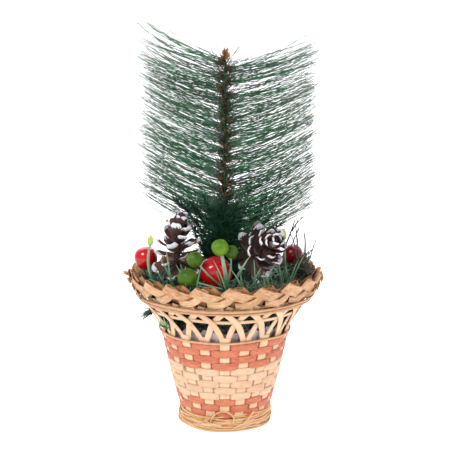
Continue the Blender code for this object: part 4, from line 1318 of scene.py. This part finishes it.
leaf = Shape()
for i in range(9):
    angle = math.radians(212 + rng.uniform(-2, 3))
    root = out(angle) * (wall(lattice_z - 10 * MM) + 1.0 * MM) + UP * (lattice_z - 11 * MM)
    lean = -1 + 2 * i / 8
    way = (out(angle) * 0.35 + UP * (1.1 - abs(lean)) + around(angle) * lean * 1.3).normalized()
    path = curl_path(root, way, rng.uniform(5.5, 8.5) * MM, UP * rng.uniform(-0.5, 0.6), 4)
    add_blade(leaf, path, rng.uniform(0.8, 1.4) * MM, 0.15 * MM, rng.random(), side=around(angle + lean))
leaf.piece("stray_leaf", "basket", leaf_film, "garland_green")

# %% [markdown]
# ## The pine spray
# The spray is twisted wire that grips bundles of long film needles, then pressed flat. So the needles
# leave the stem in bundles, left and right by turns, and a guillotine has cut both sides straight. On the
# right they rise by 27 degrees at the bottom and flatten to 13 at the top, on the left by 25 to 18. All
# sag a little in the middle. The spray is turned a little about its stem.

# %% Spray needles
stem_low, stem_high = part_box("pine_stem")
spray_low, spray_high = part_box("needle_spray")
SPRAY_TURN = math.radians(-15)
BUNDLE_PITCH = 4.1 * MM
BUNDLE_NEEDLES = 36
RIGHT_CUT = 56.5  # mm from the stem to the cut sides
LEFT_CUT = 53.6
RISE_SPREAD = 5.2  # degrees by which a needle strays from its bundle
CROSSED = 0.3  # share of the needles with a fellow on the other side
BROKEN = 0.14  # share of the needles that end short of the cut
rng = random.Random(5)


def spray_needle(shape, side, base_z, elevation, off_plane, reach, bow, own):
    """One long needle from the stem to the cut side. Bow lifts (+) or sags (-) its middle."""
    heading = SPRAY_TURN + (0 if side > 0 else math.pi) + off_plane
    flat = out(heading)
    root = UP * base_z + flat * 0.6 * MM
    length = reach / math.cos(elevation) / max(0.5, math.cos(off_plane))
    steps = 7
    path = []
    for i in range(steps + 1):
        t = i / steps
        rise = math.sin(elevation) * length * t + bow * length * math.sin(math.pi * t)
        path.append(root + flat * math.cos(elevation) * length * t + UP * rise)
    add_blade(shape, path, 0.235 * MM, 0.12 * MM, own, taper=0.55)


spray = Shape()
tree_base = stem_low.z + 90 * MM
bundles = int((stem_high.z - 5 * MM - tree_base) / BUNDLE_PITCH)
for i in range(bundles + 1):
    base_z = tree_base + i * BUNDLE_PITCH
    share = i / bundles
    side = 1 if i % 2 else -1
    for _ in range(BUNDLE_NEEDLES):
        for way in (side, -side) if rng.random() < CROSSED else (side,):
            if way < 0 and share < 0.05:
                continue
            rise = (27 - 14 * share) if way > 0 else (25 - 6.5 * share)
            elevation = math.radians(rise + rng.gauss(0, RISE_SPREAD))
            if way < 0 and share > 0.93 and rng.random() < 0.2:
                elevation = math.radians(rng.uniform(26, 30))
            bow = rng.gauss(-0.045, 0.025)
            reach = ((RIGHT_CUT if way > 0 else LEFT_CUT) + rng.gauss(0, 1.1)) * MM
            if rng.random() < BROKEN:
                reach *= rng.uniform(0.5, 0.95)
            start = base_z + rng.gauss(0, 1.5) * MM
            spray_needle(spray, way, start, elevation, rng.gauss(0, 0.2), reach, bow, rng.random())
print("spray bundles:", bundles + 1, "over a width of", round((spray_high.x - spray_low.x) / MM), "mm")

# %% [markdown]
# A few thin needles stand up round the tip, and many short ones fill the middle, so that the stem
# does not show bare between the bundles. Those in the middle take only the darker colours of the film,
# as painted shade.

# %% Inner needles
TIP_NEEDLES = 30
INNER_NEEDLES = 700
for _ in range(TIP_NEEDLES):
    heading = rng.uniform(0, TURN)
    way = (out(heading) * rng.uniform(0.4, 1.7) + UP).normalized()
    root = UP * (stem_high.z - rng.uniform(5, 18) * MM)
    path = curl_path(root, way, rng.uniform(12, 28) * MM, out(rng.uniform(0, TURN)) * 0.3)
    add_blade(spray, path, 0.22 * MM, 0.15 * MM, 0.3 * rng.random(), taper=0.6)
for _ in range(INNER_NEEDLES):
    heading = rng.uniform(0, TURN)
    way = (out(heading) + UP * math.tan(math.radians(rng.uniform(25, 72)))).normalized()
    root = UP * rng.uniform(tree_base, stem_high.z - 14 * MM)
    path = curl_path(root, way, rng.uniform(7, 19) * MM, UP * rng.uniform(-0.3, 0.4))
    # Painted shade: these middle needles take only the darker colours of the film.
    add_blade(spray, path, 0.24 * MM, 0.13 * MM, 0.45 * rng.random(), taper=0.5)
spray.piece("spray_needles", "pine_spray", needle_film, "pine_green", ("needle_spray",))

# %% [markdown]
# The stem itself is two wires twisted together, each a rod along a steep helix.

# %% Stem
TWIST_PITCH = 5.5 * MM
STEM_STEPS = 180
wires = Shape()
stem_length = stem_high.z - stem_low.z
for strand in range(2):
    path = []
    for i in range(STEM_STEPS + 1):
        turn = TURN * (stem_length / TWIST_PITCH) * i / STEM_STEPS + strand * math.pi
        z = stem_low.z + 0.2 * MM + (stem_length - 0.4 * MM) * i / STEM_STEPS
        path.append(out(turn) * 0.5 * MM + UP * z)
    add_rod(wires, path, 0.55 * MM, 0.3 + 0.3 * strand, 5)
wires.piece("twisted_stem", "pine_spray", wire_tape, "stem_wire", ("pine_stem",))

# %% [markdown]
# Curled bits of brown film are caught in the twist, in clumps that alternate from side to side like the
# bundles, and a bigger clump makes the bud on top.

# %% Bark bits and tip bud
CLUMP_BITS = 26
BUD_BITS = 44
bark = Shape()
for i in range(bundles + 1):
    base_z = tree_base + i * BUNDLE_PITCH
    side = out(SPRAY_TURN + (0 if i % 2 else math.pi))
    for _ in range(CLUMP_BITS):
        heading = out(rng.uniform(0, TURN))
        root = UP * (base_z + rng.uniform(-2.0, 2.0) * MM) + heading * 0.9 * MM
        root += (side * rng.uniform(0, 2.6) - Vector((0, rng.uniform(0, 1.2), 0))) * MM
        way = (heading * rng.uniform(0.3, 1.0) + side * 0.6 + UP * rng.uniform(-0.3, 1.0)).normalized()
        curl = Vector((rng.uniform(-1.5, 1.5), rng.uniform(-1.5, 1.5), rng.uniform(-1, 1.5)))
        path = curl_path(root, way, rng.uniform(2.0, 4.0) * MM, curl)
        add_blade(bark, path, rng.uniform(0.4, 0.9) * MM, 0.15 * MM, rng.random(), taper=0.35)
bark.piece("bark_bits", "pine_spray", bark_film, "bark_brown")

bud_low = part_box("tip_bud")[0]
bud = Shape()
for i in range(BUD_BITS):
    level_share = (i / BUD_BITS) ** 0.9
    heading = out(i * 2.4)
    root = UP * (bud_low.z + level_share * 5.5 * MM) + heading * (1.2 - level_share) * MM
    way = (heading * (1.1 - 0.75 * level_share) + UP * rng.uniform(0.4, 1.2)).normalized()
    curl = UP * rng.uniform(-0.4, 1.2) + out(rng.uniform(0, TURN)) * 0.9
    path = curl_path(root, way, rng.uniform(2.6, 4.8) * MM, curl)
    add_blade(bud, path, rng.uniform(0.35, 0.8) * MM, 0.18 * MM, rng.random(), taper=0.25)
bud.piece("tip_bud_scales", "pine_spray", bud_bark, "bark_brown", ("tip_bud",))

# %% [markdown]
# At the foot of the stem shorter, darker needles stand out all round and hide where the stem enters the
# foam. A few long sprigs lean up out of them, each a sheaf of blades on nearly one path.

# %% Needle skirt
SKIRT_NEEDLES = 1500
SPRIGS = ((3.3, 0.55, 44), (3.0, 0.42, 38), (0.3, 0.5, 30), (4.4, 0.45, 24))  # heading, lean, length in mm
skirt_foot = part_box("needle_skirt")[0].z
skirt = Shape()
for _ in range(SKIRT_NEEDLES):
    share = rng.random()
    heading = rng.uniform(0, TURN)
    elevation = math.radians(rng.uniform(15, 78))
    way = out(heading) * math.cos(elevation) + UP * math.sin(elevation)
    root = UP * (skirt_foot - 4 * MM + share * 46 * MM) + out(heading) * 0.8 * MM
    length = rng.uniform(15, 30) * MM * (1.1 - 0.4 * share)
    path = needle_path(root, way, length, length * rng.uniform(-0.05, 0.15), 4)
    add_blade(skirt, path, rng.uniform(0.3, 0.45) * MM, 0.13 * MM, rng.random(), taper=0.4)
for heading, lean, length in SPRIGS:
    way = (out(heading) * lean + UP).normalized()
    path = curl_path(UP * (skirt_foot + 4 * MM) + out(heading) * 6 * MM, way, length * MM, UP * 0.25, 8)
    for _ in range(5):
        shift = Vector((rng.uniform(-1, 1), rng.uniform(-1, 1), rng.uniform(-2, 2))) * MM
        moved = [point + shift for point in path]
        add_blade(skirt, moved, 0.5 * MM, 0.15 * MM, 0.7 + 0.3 * rng.random(), taper=0.4)
print("skirt needles:", SKIRT_NEEDLES, "and sprigs:", len(SPRIGS))

# %% [markdown]
# The skirt also has side branches, and they are what makes it a bush and not a cone: each is a bowed line
# from the stem to its tip, with short needles all along it. They are thickest behind the cones.

# %% Side branches of the skirt
BRANCH_NEEDLES = 110
# The tips: (sideways, towards the back, height) in mm
SIDE_BRANCHES = (
    (34, -4, 140), (27, -6, 151), (38, 2, 131), (-31, -4, 147), (17, -6, 155),
    (-21, -2, 143), (-14, -7, 150), (-28, 2, 136), (8, -12, 146), (-7, -12, 143),
    (12, 20, 148), (-12, 22, 146), (28, 16, 138),
)
for x, y, z in SIDE_BRANCHES:
    tip = Vector((x, y, z)) * MM
    start = UP * (skirt_foot + rng.uniform(4, 14) * MM)
    for _ in range(BRANCH_NEEDLES):
        t = rng.random() ** 0.8
        root = start.lerp(tip, t) + UP * 3 * MM * math.sin(math.pi * t)
        way = ((tip - start).normalized() * rng.uniform(0.4, 1.6) + random_way()).normalized()
        path = needle_path(root, way, rng.uniform(5, 9.5) * MM, 0.0, 2)
        add_blade(skirt, path, rng.uniform(0.28, 0.45) * MM, 0.13 * MM, rng.random(), taper=0.4)
skirt.piece("skirt_needles", "pine_spray", skirt_film, "garland_green", ("needle_skirt",))

# %% [markdown]
# ## Pine cones
# A cone's scales sit on two sets of spirals, which a steady turn of 137.5 degrees gives for free. Each
# scale is narrow at its root, widens, is hollow above and ends in a thick lip. Low scales droop and upper
# ones close towards the tip.

# %% Cone scale
SCALE_STEPS = 7
# Places across a scale, from edge to edge on its upper face and back on its lower one
SCALE_COLUMNS = (-1, -0.6, 0, 0.6, 1, 0.6, 0, -0.6)
LIP_AT = 0.93  # share of a scale's length where it rounds off to its lip


def add_scale(shape, root, way, side, length, width, own, curl, roll):
    """A hollowed scale, thick at the lip. Curl bends it up and roll turns it on its long way."""
    face = side.cross(way).normalized() * -1
    rolled_side = side * math.cos(roll) + face * math.sin(roll)
    rolled_face = face * math.cos(roll) - side * math.sin(roll)
    side, face = rolled_side, rolled_face
    rings = []
    for i in range(SCALE_STEPS + 1):
        t = i / SCALE_STEPS
        bend = way * (t * length) + face * (curl * length * t * t)
        half = width / 2 * (0.30 + 0.78 * math.sin(min(1.0, t * 1.02) * math.pi * 0.60) ** 1.7)
        half *= 1.0 if t < LIP_AT else 0.72
        thick = (0.6 + 0.9 * t**3) * MM * (1.0 if t < LIP_AT else 0.6)
        points, lays = [], []
        for c, x in enumerate(SCALE_COLUMNS):
            hollow = (x * x - 0.4) * 0.16 * width * t
            top = 1 if c < 5 else -1
            lift = thick * top * (0.5 if abs(x) < 1 else 0.0)
            crown = -0.10 * length * x * x if t > 0.7 else 0.0
            point = root + bend + side * x * half + face * (hollow + lift) + way * crown * (t - 0.7) * 3
            points.append(point)
            lays.append((t, x, own))
        rings.append((points, lays))
    shape.sweep(rings)


print("a scale has", (SCALE_STEPS + 1) * len(SCALE_COLUMNS), "points")

# %% [markdown]
# Scale by scale the cone is wound from its base to its tip. Scales low down are longest, and every one gets
# its own curl and roll, because a dry cone opens unevenly.

# %% Cone builder
GOLDEN = math.radians(137.508)
CONE_HEIGHT = 40 * MM


def make_cone(name, node, body, base, pointing, spin, count, droop, opening, spread):
    """A whole cone from its base point along its axis. Its scales turn from droop to opening degrees, and
    spread makes them longer or shorter."""
    cone = Shape()
    pointing = pointing.normalized()
    turn = pointing.to_track_quat("Z", "Y").to_matrix()
    for i in range(count):
        share = i / (count - 1)
        angle = spin + i * GOLDEN + rng.uniform(-0.12, 0.12)
        elevation = math.radians(droop + (opening - droop) * share**0.6 + rng.uniform(-14, 14))
        length = 15.5 * (1 - share) ** 0.5 * (0.85 + 0.6 * min(share * 3, 0.3)) + 4.0
        length = length * MM * rng.uniform(0.8, 1.1) * spread
        width = (7.3 - 2.9 * share**1.6) * MM * rng.uniform(0.85, 1.1)
        way = turn @ (out(angle) * math.cos(elevation) + UP * math.sin(elevation))
        side = turn @ (around(angle) + UP * rng.uniform(-0.25, 0.25)).normalized()
        root = base + turn @ (out(angle) * 1.2 * MM + UP * CONE_HEIGHT * (0.08 + 0.78 * share))
        own, curl, roll = rng.random(), rng.uniform(0.1, 0.4), rng.uniform(-0.55, 0.55)
        add_scale(cone, root, way, side, length, width, own, curl, roll)
    path = [base + pointing * CONE_HEIGHT * t for t in (0.0, 0.25, 0.5, 0.75, 0.93)]
    add_rod(cone, path, lambda t: (2.4 - 1.6 * t) * MM, 0.4, 8)
    cone.piece(name, body, cone_scale, "cone_brown", (node,))


print("turn from scale to scale:", round(math.degrees(GOLDEN), 1), "degrees")

# %% [markdown]
# Both cones sit on their wires' upper ends. The left one stands up and is wide open, with its low scales
# drooping; the right one lies on its side with its tip to the front, so it is seen as a rosette.

# %% Pine cones
def node_axis(node):
    """A slim node's two end points, lowest first, from its vertices."""
    points = [v.co.copy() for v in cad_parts[node].data.vertices]
    low = min(points, key=lambda p: p.z)
    high = max(points, key=lambda p: p.z)
    near_low = [p for p in points if (p - low).length < 2.5 * MM]
    near_high = [p for p in points if (p - high).length < 2.5 * MM]
    return sum(near_low, Vector()) / len(near_low), sum(near_high, Vector()) / len(near_high)


left_base = node_axis("left_cone_wire")[1]
right_base = node_axis("right_cone_wire")[1]
make_cone(
    "left_pine_cone", "left_cone", "left_cone_pick", left_base, Vector((0.09, -0.05, 1.0)),
    spin=0.4, count=52, droop=-58, opening=72, spread=0.88,
)
make_cone(
    "right_pine_cone", "right_cone", "right_cone_pick", right_base, Vector((0.45, -0.76, 0.47)),
    spin=1.9, count=38, droop=-16, opening=62, spread=1.0,
)

# %% [markdown]
# ## Berries and balls
# The berries are apple shaped: a dimple on top, full shoulders and a narrower foot, never quite round.
# The balls are rounder, with a faint seam from the mould. Both are made by turning a profile and then
# pressing the result slightly out of true.

# %% Fruit builder
def box_middle(node):
    """The middle of a node's box and its mean radius."""
    low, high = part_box(node)
    return (low + high) / 2, (high.x - low.x + high.y - low.y + high.z - low.z) / 6


def add_fruit(shape, middle, radius, axis, dimple, foot, lobes, own):
    """A round fruit turned about its axis, with a dimple on top and soft lobes."""
    turn = axis.to_track_quat("Z", "Y").to_matrix()
    rows, columns = 18, 28
    rings = []
    for r in range(1, rows):
        polar = math.pi * r / rows
        points, lays = [], []
        for c in range(columns):
            angle = TURN * c / columns
            swell = 1 + lobes * math.cos(5 * angle) * math.sin(polar)
            narrow = 1 - foot * (1 - math.cos(polar)) / 2
            flat = radius * math.sin(polar) * narrow * swell
            tall = radius * math.cos(polar) - radius * dimple * math.exp(-((polar / 0.45) ** 2))
            points.append(middle + turn @ (out(angle) * flat + UP * tall))
            lays.append((polar / math.pi, math.cos(angle), own))
        rings.append((points, lays))
    shape.sweep(rings)


def make_fruit(name, node, body, finish, slot, axis, dimple, foot, lobes, stretch=1.0):
    middle, radius = box_middle(node)
    fruit = Shape()
    add_fruit(fruit, middle, radius * stretch, Vector(axis).normalized(), dimple, foot, lobes, rng.random())
    fruit.piece(name, body, finish, slot, (node,))
    return middle


print("front berry is", round(2 * box_middle("front_berry")[1] / MM, 1), "mm wide in the frame")

# %% [markdown]
# The two side berries stand on their own wires. The front berry and the green balls belong to the front
# pick; its berry turns its dimpled top to you, and the other balls, lower and further back, get a darker
# lacquer than the top one as painted shade.

# %% Berries and balls
make_fruit(
    "left_red_berry", "left_berry", "left_berry_pick", berry_lacquer, "berry_red",
    axis=(-0.2, -0.1, 1), dimple=0.12, foot=0.12, lobes=0.012,
)
make_fruit(
    "right_red_berry", "right_berry", "right_berry_pick", dark_berry_lacquer, "berry_red",
    axis=(0.4, -0.5, 1), dimple=0.12, foot=0.1, lobes=0.015,
)
front_middle = make_fruit(
    "front_red_berry", "front_berry", "front_pick", berry_lacquer, "berry_red",
    axis=(0.05, -0.95, -0.1), dimple=0.16, foot=0.08, lobes=0.015, stretch=1.15,
)
for node in ("top_ball", "side_ball", "low_ball", "back_ball"):
    tilt = (rng.uniform(-0.4, 0.4), rng.uniform(-0.4, 0.4), 1)
    # The balls other than the top one get the darker lacquer, as painted shade.
    finish = ball_lacquer if node == "top_ball" else shaded_ball_lacquer
    stretch = 1.0 if node == "top_ball" else 1.08
    make_fruit(f"{node}_green", node, "front_pick", finish, "ball_green", tilt, 0.05, 0.05, 0.02, stretch)

# %% [markdown]
# ## Wires and the front pick's stems
# The picks' wires are wound with a strip of green tape, which overlaps itself. A radius that grows over
# each turn and drops back at its end gives the low spiral ridge of the overlap.

# %% Wires
TAPE_PITCH = 2.2 * MM
TAPE_STEPS = 8  # rings in one turn of the tape


def taped_wire(node, body):
    """A wire wound with a strip of tape, which stands up in a low spiral ridge."""
    start, end = node_axis(node)
    wire = Shape()
    steps = int((end - start).length / TAPE_PITCH) * TAPE_STEPS
    path = [start.lerp(end, i / steps) for i in range(steps + 1)]
    add_rod(wire, path, lambda t: (0.62 + 0.14 * ((t * steps) % TAPE_STEPS) / TAPE_STEPS) * MM, 0.4, 8)
    wire.piece(f"{node}_taped", body, wire_tape, "stem_wire", (node,))


for pick in ("left_cone", "right_cone", "left_berry", "right_berry"):
    taped_wire(f"{pick}_wire", f"{pick}_pick")

# %% [markdown]
# On the front pick flat green stems rise from one knot behind the rim: a broad one to the top ball, thin
# ones to the others, and one that reaches round to the berry's face.

# %% Front pick
knot = Vector((0.6, -47.5, 97.5)) * MM
foot_end = node_axis("front_pick_stem")[0]
stems = Shape()
add_rod(stems, [foot_end, foot_end.lerp(knot, 0.5), knot], 0.75 * MM, 0.3, 8)
# The point each stem is pulled towards, and its half width
STEM_ROUTES = {
    "top_ball": (Vector((1.6, -52.0, 104)) * MM, 1.35 * MM),
    "side_ball": (Vector((-9.5, -49.0, 106)) * MM, 0.6 * MM),
    "low_ball": (Vector((-12.0, -47.5, 100.5)) * MM, 0.6 * MM),
    "back_ball": (Vector((3.6, -47.5, 108)) * MM, 0.6 * MM),
}


def bent_path(a, b, c, steps=8):
    """A smooth path from a to c that is pulled towards b."""
    points = []
    for i in range(steps + 1):
        t = i / steps
        points.append(a * (1 - t) ** 2 + b * 2 * t * (1 - t) + c * t * t)
    return points


for node, (bend, half) in STEM_ROUTES.items():
    middle, radius = box_middle(node)
    end = middle + (bend - middle).normalized() * radius * 0.9
    path = bent_path(knot, bend, end)
    add_blade(stems, path, half, 0.35 * MM, rng.random(), side=Vector((1, 0, 0)), taper=0.75)
stalk_foot = knot + Vector((-1, -1, 0)) * MM
stalk_bend = Vector((-2.2, -52.5, 101)) * MM
stalk_end = front_middle + Vector((0.5, -10.4, 2.8)) * MM
add_rod(stems, bent_path(stalk_foot, stalk_bend, stalk_end), 0.35 * MM, 0.9, 5)
stems.piece("front_pick_stems", "front_pick", grass_film, "blade_green", ("front_pick_stem",))

# %% [markdown]
# ## Buds, grass and twigs
# Two thick blades carry a pointed bud. Its five petals are blades too: they leave one point, swell apart
# and close again at the tip.

# %% Buds
PETALS = 5


def make_bud(name, node, stem_node, bend, half_width):
    """A pointed bud of folded petals on a thick curved stem."""
    low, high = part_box(node)
    foot = Vector(((low.x + high.x) / 2, (low.y + high.y) / 2, low.z))
    height = high.z - low.z
    petals = Shape()
    for i in range(PETALS):
        angle = i * TURN / PETALS + 0.3
        path = []
        for j in range(7):
            t = j / 6
            swell = math.sin(math.pi * min(1, t * 1.05))
            path.append(foot + out(angle) * 1.5 * MM * swell + UP * height * t)
        add_blade(petals, path, 1.5 * MM, 0.5 * MM, 0.3 + 0.1 * i, side=around(angle), taper=0.05)
    petals.piece(name, "basket", bud_film, "bud_yellow", (node,))
    stalk = Shape()
    path = bent_path(node_axis(stem_node)[0], bend, foot + UP * 0.8 * MM, 10)
    side = Vector((1, 0.1, 0)).normalized()
    add_blade(stalk, path, half_width, 0.8 * MM, 0.6, side=side, taper=0.6)
    stalk.piece(f"{name}_stalk", "basket", grass_film, "blade_green", (stem_node,))


make_bud("left_bud_petals", "left_bud", "left_bud_blade", Vector((-51, -36, 106)) * MM, 1.1 * MM)
make_bud("right_bud_petals", "right_bud", "right_bud_blade", Vector((39.5, -8, 108)) * MM, 0.8 * MM)

# %% [markdown]
# Flat ribbed blades of grass stand at the front edge. The broad ones are placed one by one, because their
# leaning shapes are what is seen in front of the berries; finer ones are strewn round their roots.

# %% Grass
STREWN_BLADES = 80
# Each blade: root (x, y, z), tip (x, y, z) and half width, all in mm
GRASS = {
    "front_grass": (
        (2.3, -50, 95, 14.6, -52, 119, 1.3),
        (1, -51, 97, -7, -52.5, 117, 0.5),
        (10, -50, 96, 9.6, -53, 109, 0.6),
        (15, -48, 95, 22, -46, 111, 0.7),
        (19, -47, 95, 17.5, -48, 117, 0.6),
        (24, -45, 95, 31, -41, 113, 0.5),
        (12, -50, 96, 3, -53, 112, 0.5),
        (28, -43, 95, 24, -47, 109, 0.7),
    ),
    "left_grass": (
        (-33, -37, 94, -36.5, -43, 124, 0.6),
        (-30, -40, 94, -41, -39, 117, 0.6),
        (-27, -43, 94, -24, -46, 112, 0.6),
        (-22, -46, 95, -30, -46, 113, 0.5),
        (-36, -34, 94, -44, -38, 109, 0.7),
        (-18, -48, 95, -14.5, -51, 112, 0.6),
        (-30, -41, 94, -17, -52, 102, 0.6),
        (-24, -45, 94, -12, -54, 101, 0.7),
        (-38, -33, 94, -30, -47, 104, 0.7),
    ),
    "right_grass": (
        (42, -18, 94, 51, -18, 114, 0.6),
        (40, -26, 94, 46, -28, 112, 0.6),
        (36, -33, 94, 33, -38, 114, 0.5),
        (44, -10, 94, 52, -8, 108, 0.6),
    ),
}
for name, blades in GRASS.items():
    tuft = Shape()
    flat_side = Vector((1, 0.2, 0)).normalized()
    for x0, y0, z0, x1, y1, z1, half in blades:
        root, tip = Vector((x0, y0, z0)) * MM, Vector((x1, y1, z1)) * MM
        bend = root.lerp(tip, 0.5) + UP * 3 * MM
        add_blade(tuft, bent_path(root, bend, tip), half * MM, 0.2 * MM, rng.random(), side=flat_side)
    for _ in range(STREWN_BLADES):
        x0, y0, z0 = rng.choice(blades)[:3]
        root = Vector((x0 + rng.uniform(-5, 5), y0 + rng.uniform(-2, 4), z0 - 2)) * MM
        way = Vector((rng.uniform(-1, 1), rng.uniform(-0.9, 0.3), rng.uniform(0.15, 1.0))).normalized()
        path = needle_path(root, way, rng.uniform(8, 16) * MM, rng.uniform(0, 3) * MM, 5)
        if inside_basket(path[-1], 1.0 * MM):
            half, own = rng.uniform(0.3, 0.7) * MM, rng.random()
            add_blade(tuft, path, half, 0.15 * MM, own, side=way.cross(UP).normalized())
    tuft.piece(name, "basket", grass_film, "blade_green", (f"{name}_tuft",))

# %% [markdown]
# A few bare dark twigs stick out at the right. Each is bent once and carries two short side shoots.

# %% Twigs
# Each twig: root (x, y, z), tip (x, y, z) and half width, all in mm
TWIGS = (
    (38, 2, 112, 46, 1, 134, 0.7),
    (44, 1, 126, 52, 0, 136, 0.5),
    (47, -2, 108, 42, -3, 126, 0.5),
    (48, 0, 108, 46, 0, 131, 0.6),
    (52, 2, 104, 52, 0, 125, 0.75),
    (56, 2, 108, 60, 2, 120, 0.4),
    (55, 0, 106, 57, -2, 114, 0.4),
    (42, 4, 112, 49, 5, 128, 0.4),
)
SHOOTS_AT = (4, 7)  # which of a twig's ten steps carry a shoot
twigs = Shape()
for x0, y0, z0, x1, y1, z1, half in TWIGS:
    root, tip = Vector((x0, y0, z0)) * MM, Vector((x1, y1, z1)) * MM
    bend = root.lerp(tip, 0.5) + Vector((rng.uniform(-2, 2), rng.uniform(-2, 2), 2)) * MM
    path = bent_path(root, bend, tip, 10)
    add_blade(twigs, path, 1.35 * half * MM, 0.5 * MM, rng.random(), taper=0.45)
    for i in SHOOTS_AT:
        ahead = (path[i] - path[i - 1]).normalized()
        way = (ahead + Vector((rng.uniform(-1, 1), rng.uniform(-1, 1), 0.3))).normalized()
        shoot = needle_path(path[i], way, rng.uniform(3, 6) * MM, 0.0)
        add_blade(twigs, shoot, 0.4 * MM, 0.3 * MM, rng.random())
twigs.piece("bare_twigs", "basket", twig_film, "stem_wire")

# %% [markdown]
# ## Floor
# The floor and the wall behind it are one pale sheet that curves up, so there is no horizon line.

# %% Floor
FLOOR_FRONT = -1.6
FLOOR_HALF_WIDTH = 2.4
BEND_START = 0.5
BEND_RADIUS = 0.6
BEND_STEPS = 8
WALL_TOP = 2.2
profile = [(FLOOR_FRONT, 0.0), (BEND_START, 0.0)]
for i in range(1, BEND_STEPS + 1):
    turn = math.pi / 2 * i / BEND_STEPS
    profile.append((BEND_START + BEND_RADIUS * math.sin(turn), BEND_RADIUS - BEND_RADIUS * math.cos(turn)))
profile.append((BEND_START + BEND_RADIUS, WALL_TOP))
verts = [(x, y, z) for y, z in profile for x in (-FLOOR_HALF_WIDTH, FLOOR_HALF_WIDTH)]
faces = [(2 * i, 2 * i + 1, 2 * i + 3, 2 * i + 2) for i in range(len(profile) - 1)]
floor_mesh = bpy.data.meshes.new("pale_sweep")
floor_mesh.from_pydata(verts, [], faces)
floor_mesh.shade_smooth()
pale_floor, tree, shader = new_finish(
    "pale floor", Roughness=0.9, Emission_Color=(1, 1, 1, 1), Emission_Strength=0.52
)
group = use_group(
    tree, mottle, Light=(0.93, 0.92, 0.94, 1), Dark=(0.91, 0.90, 0.92, 1), Patch=3.0, Grain=200.0
)
tree.links.new(group.outputs["Color"], shader.inputs["Base Color"])
floor_mesh.materials.append(pale_floor)
floor = bpy.data.objects.new("pale_sweep", floor_mesh)
scene.collection.objects.link(floor)
print("floor is", len(faces), "panels")
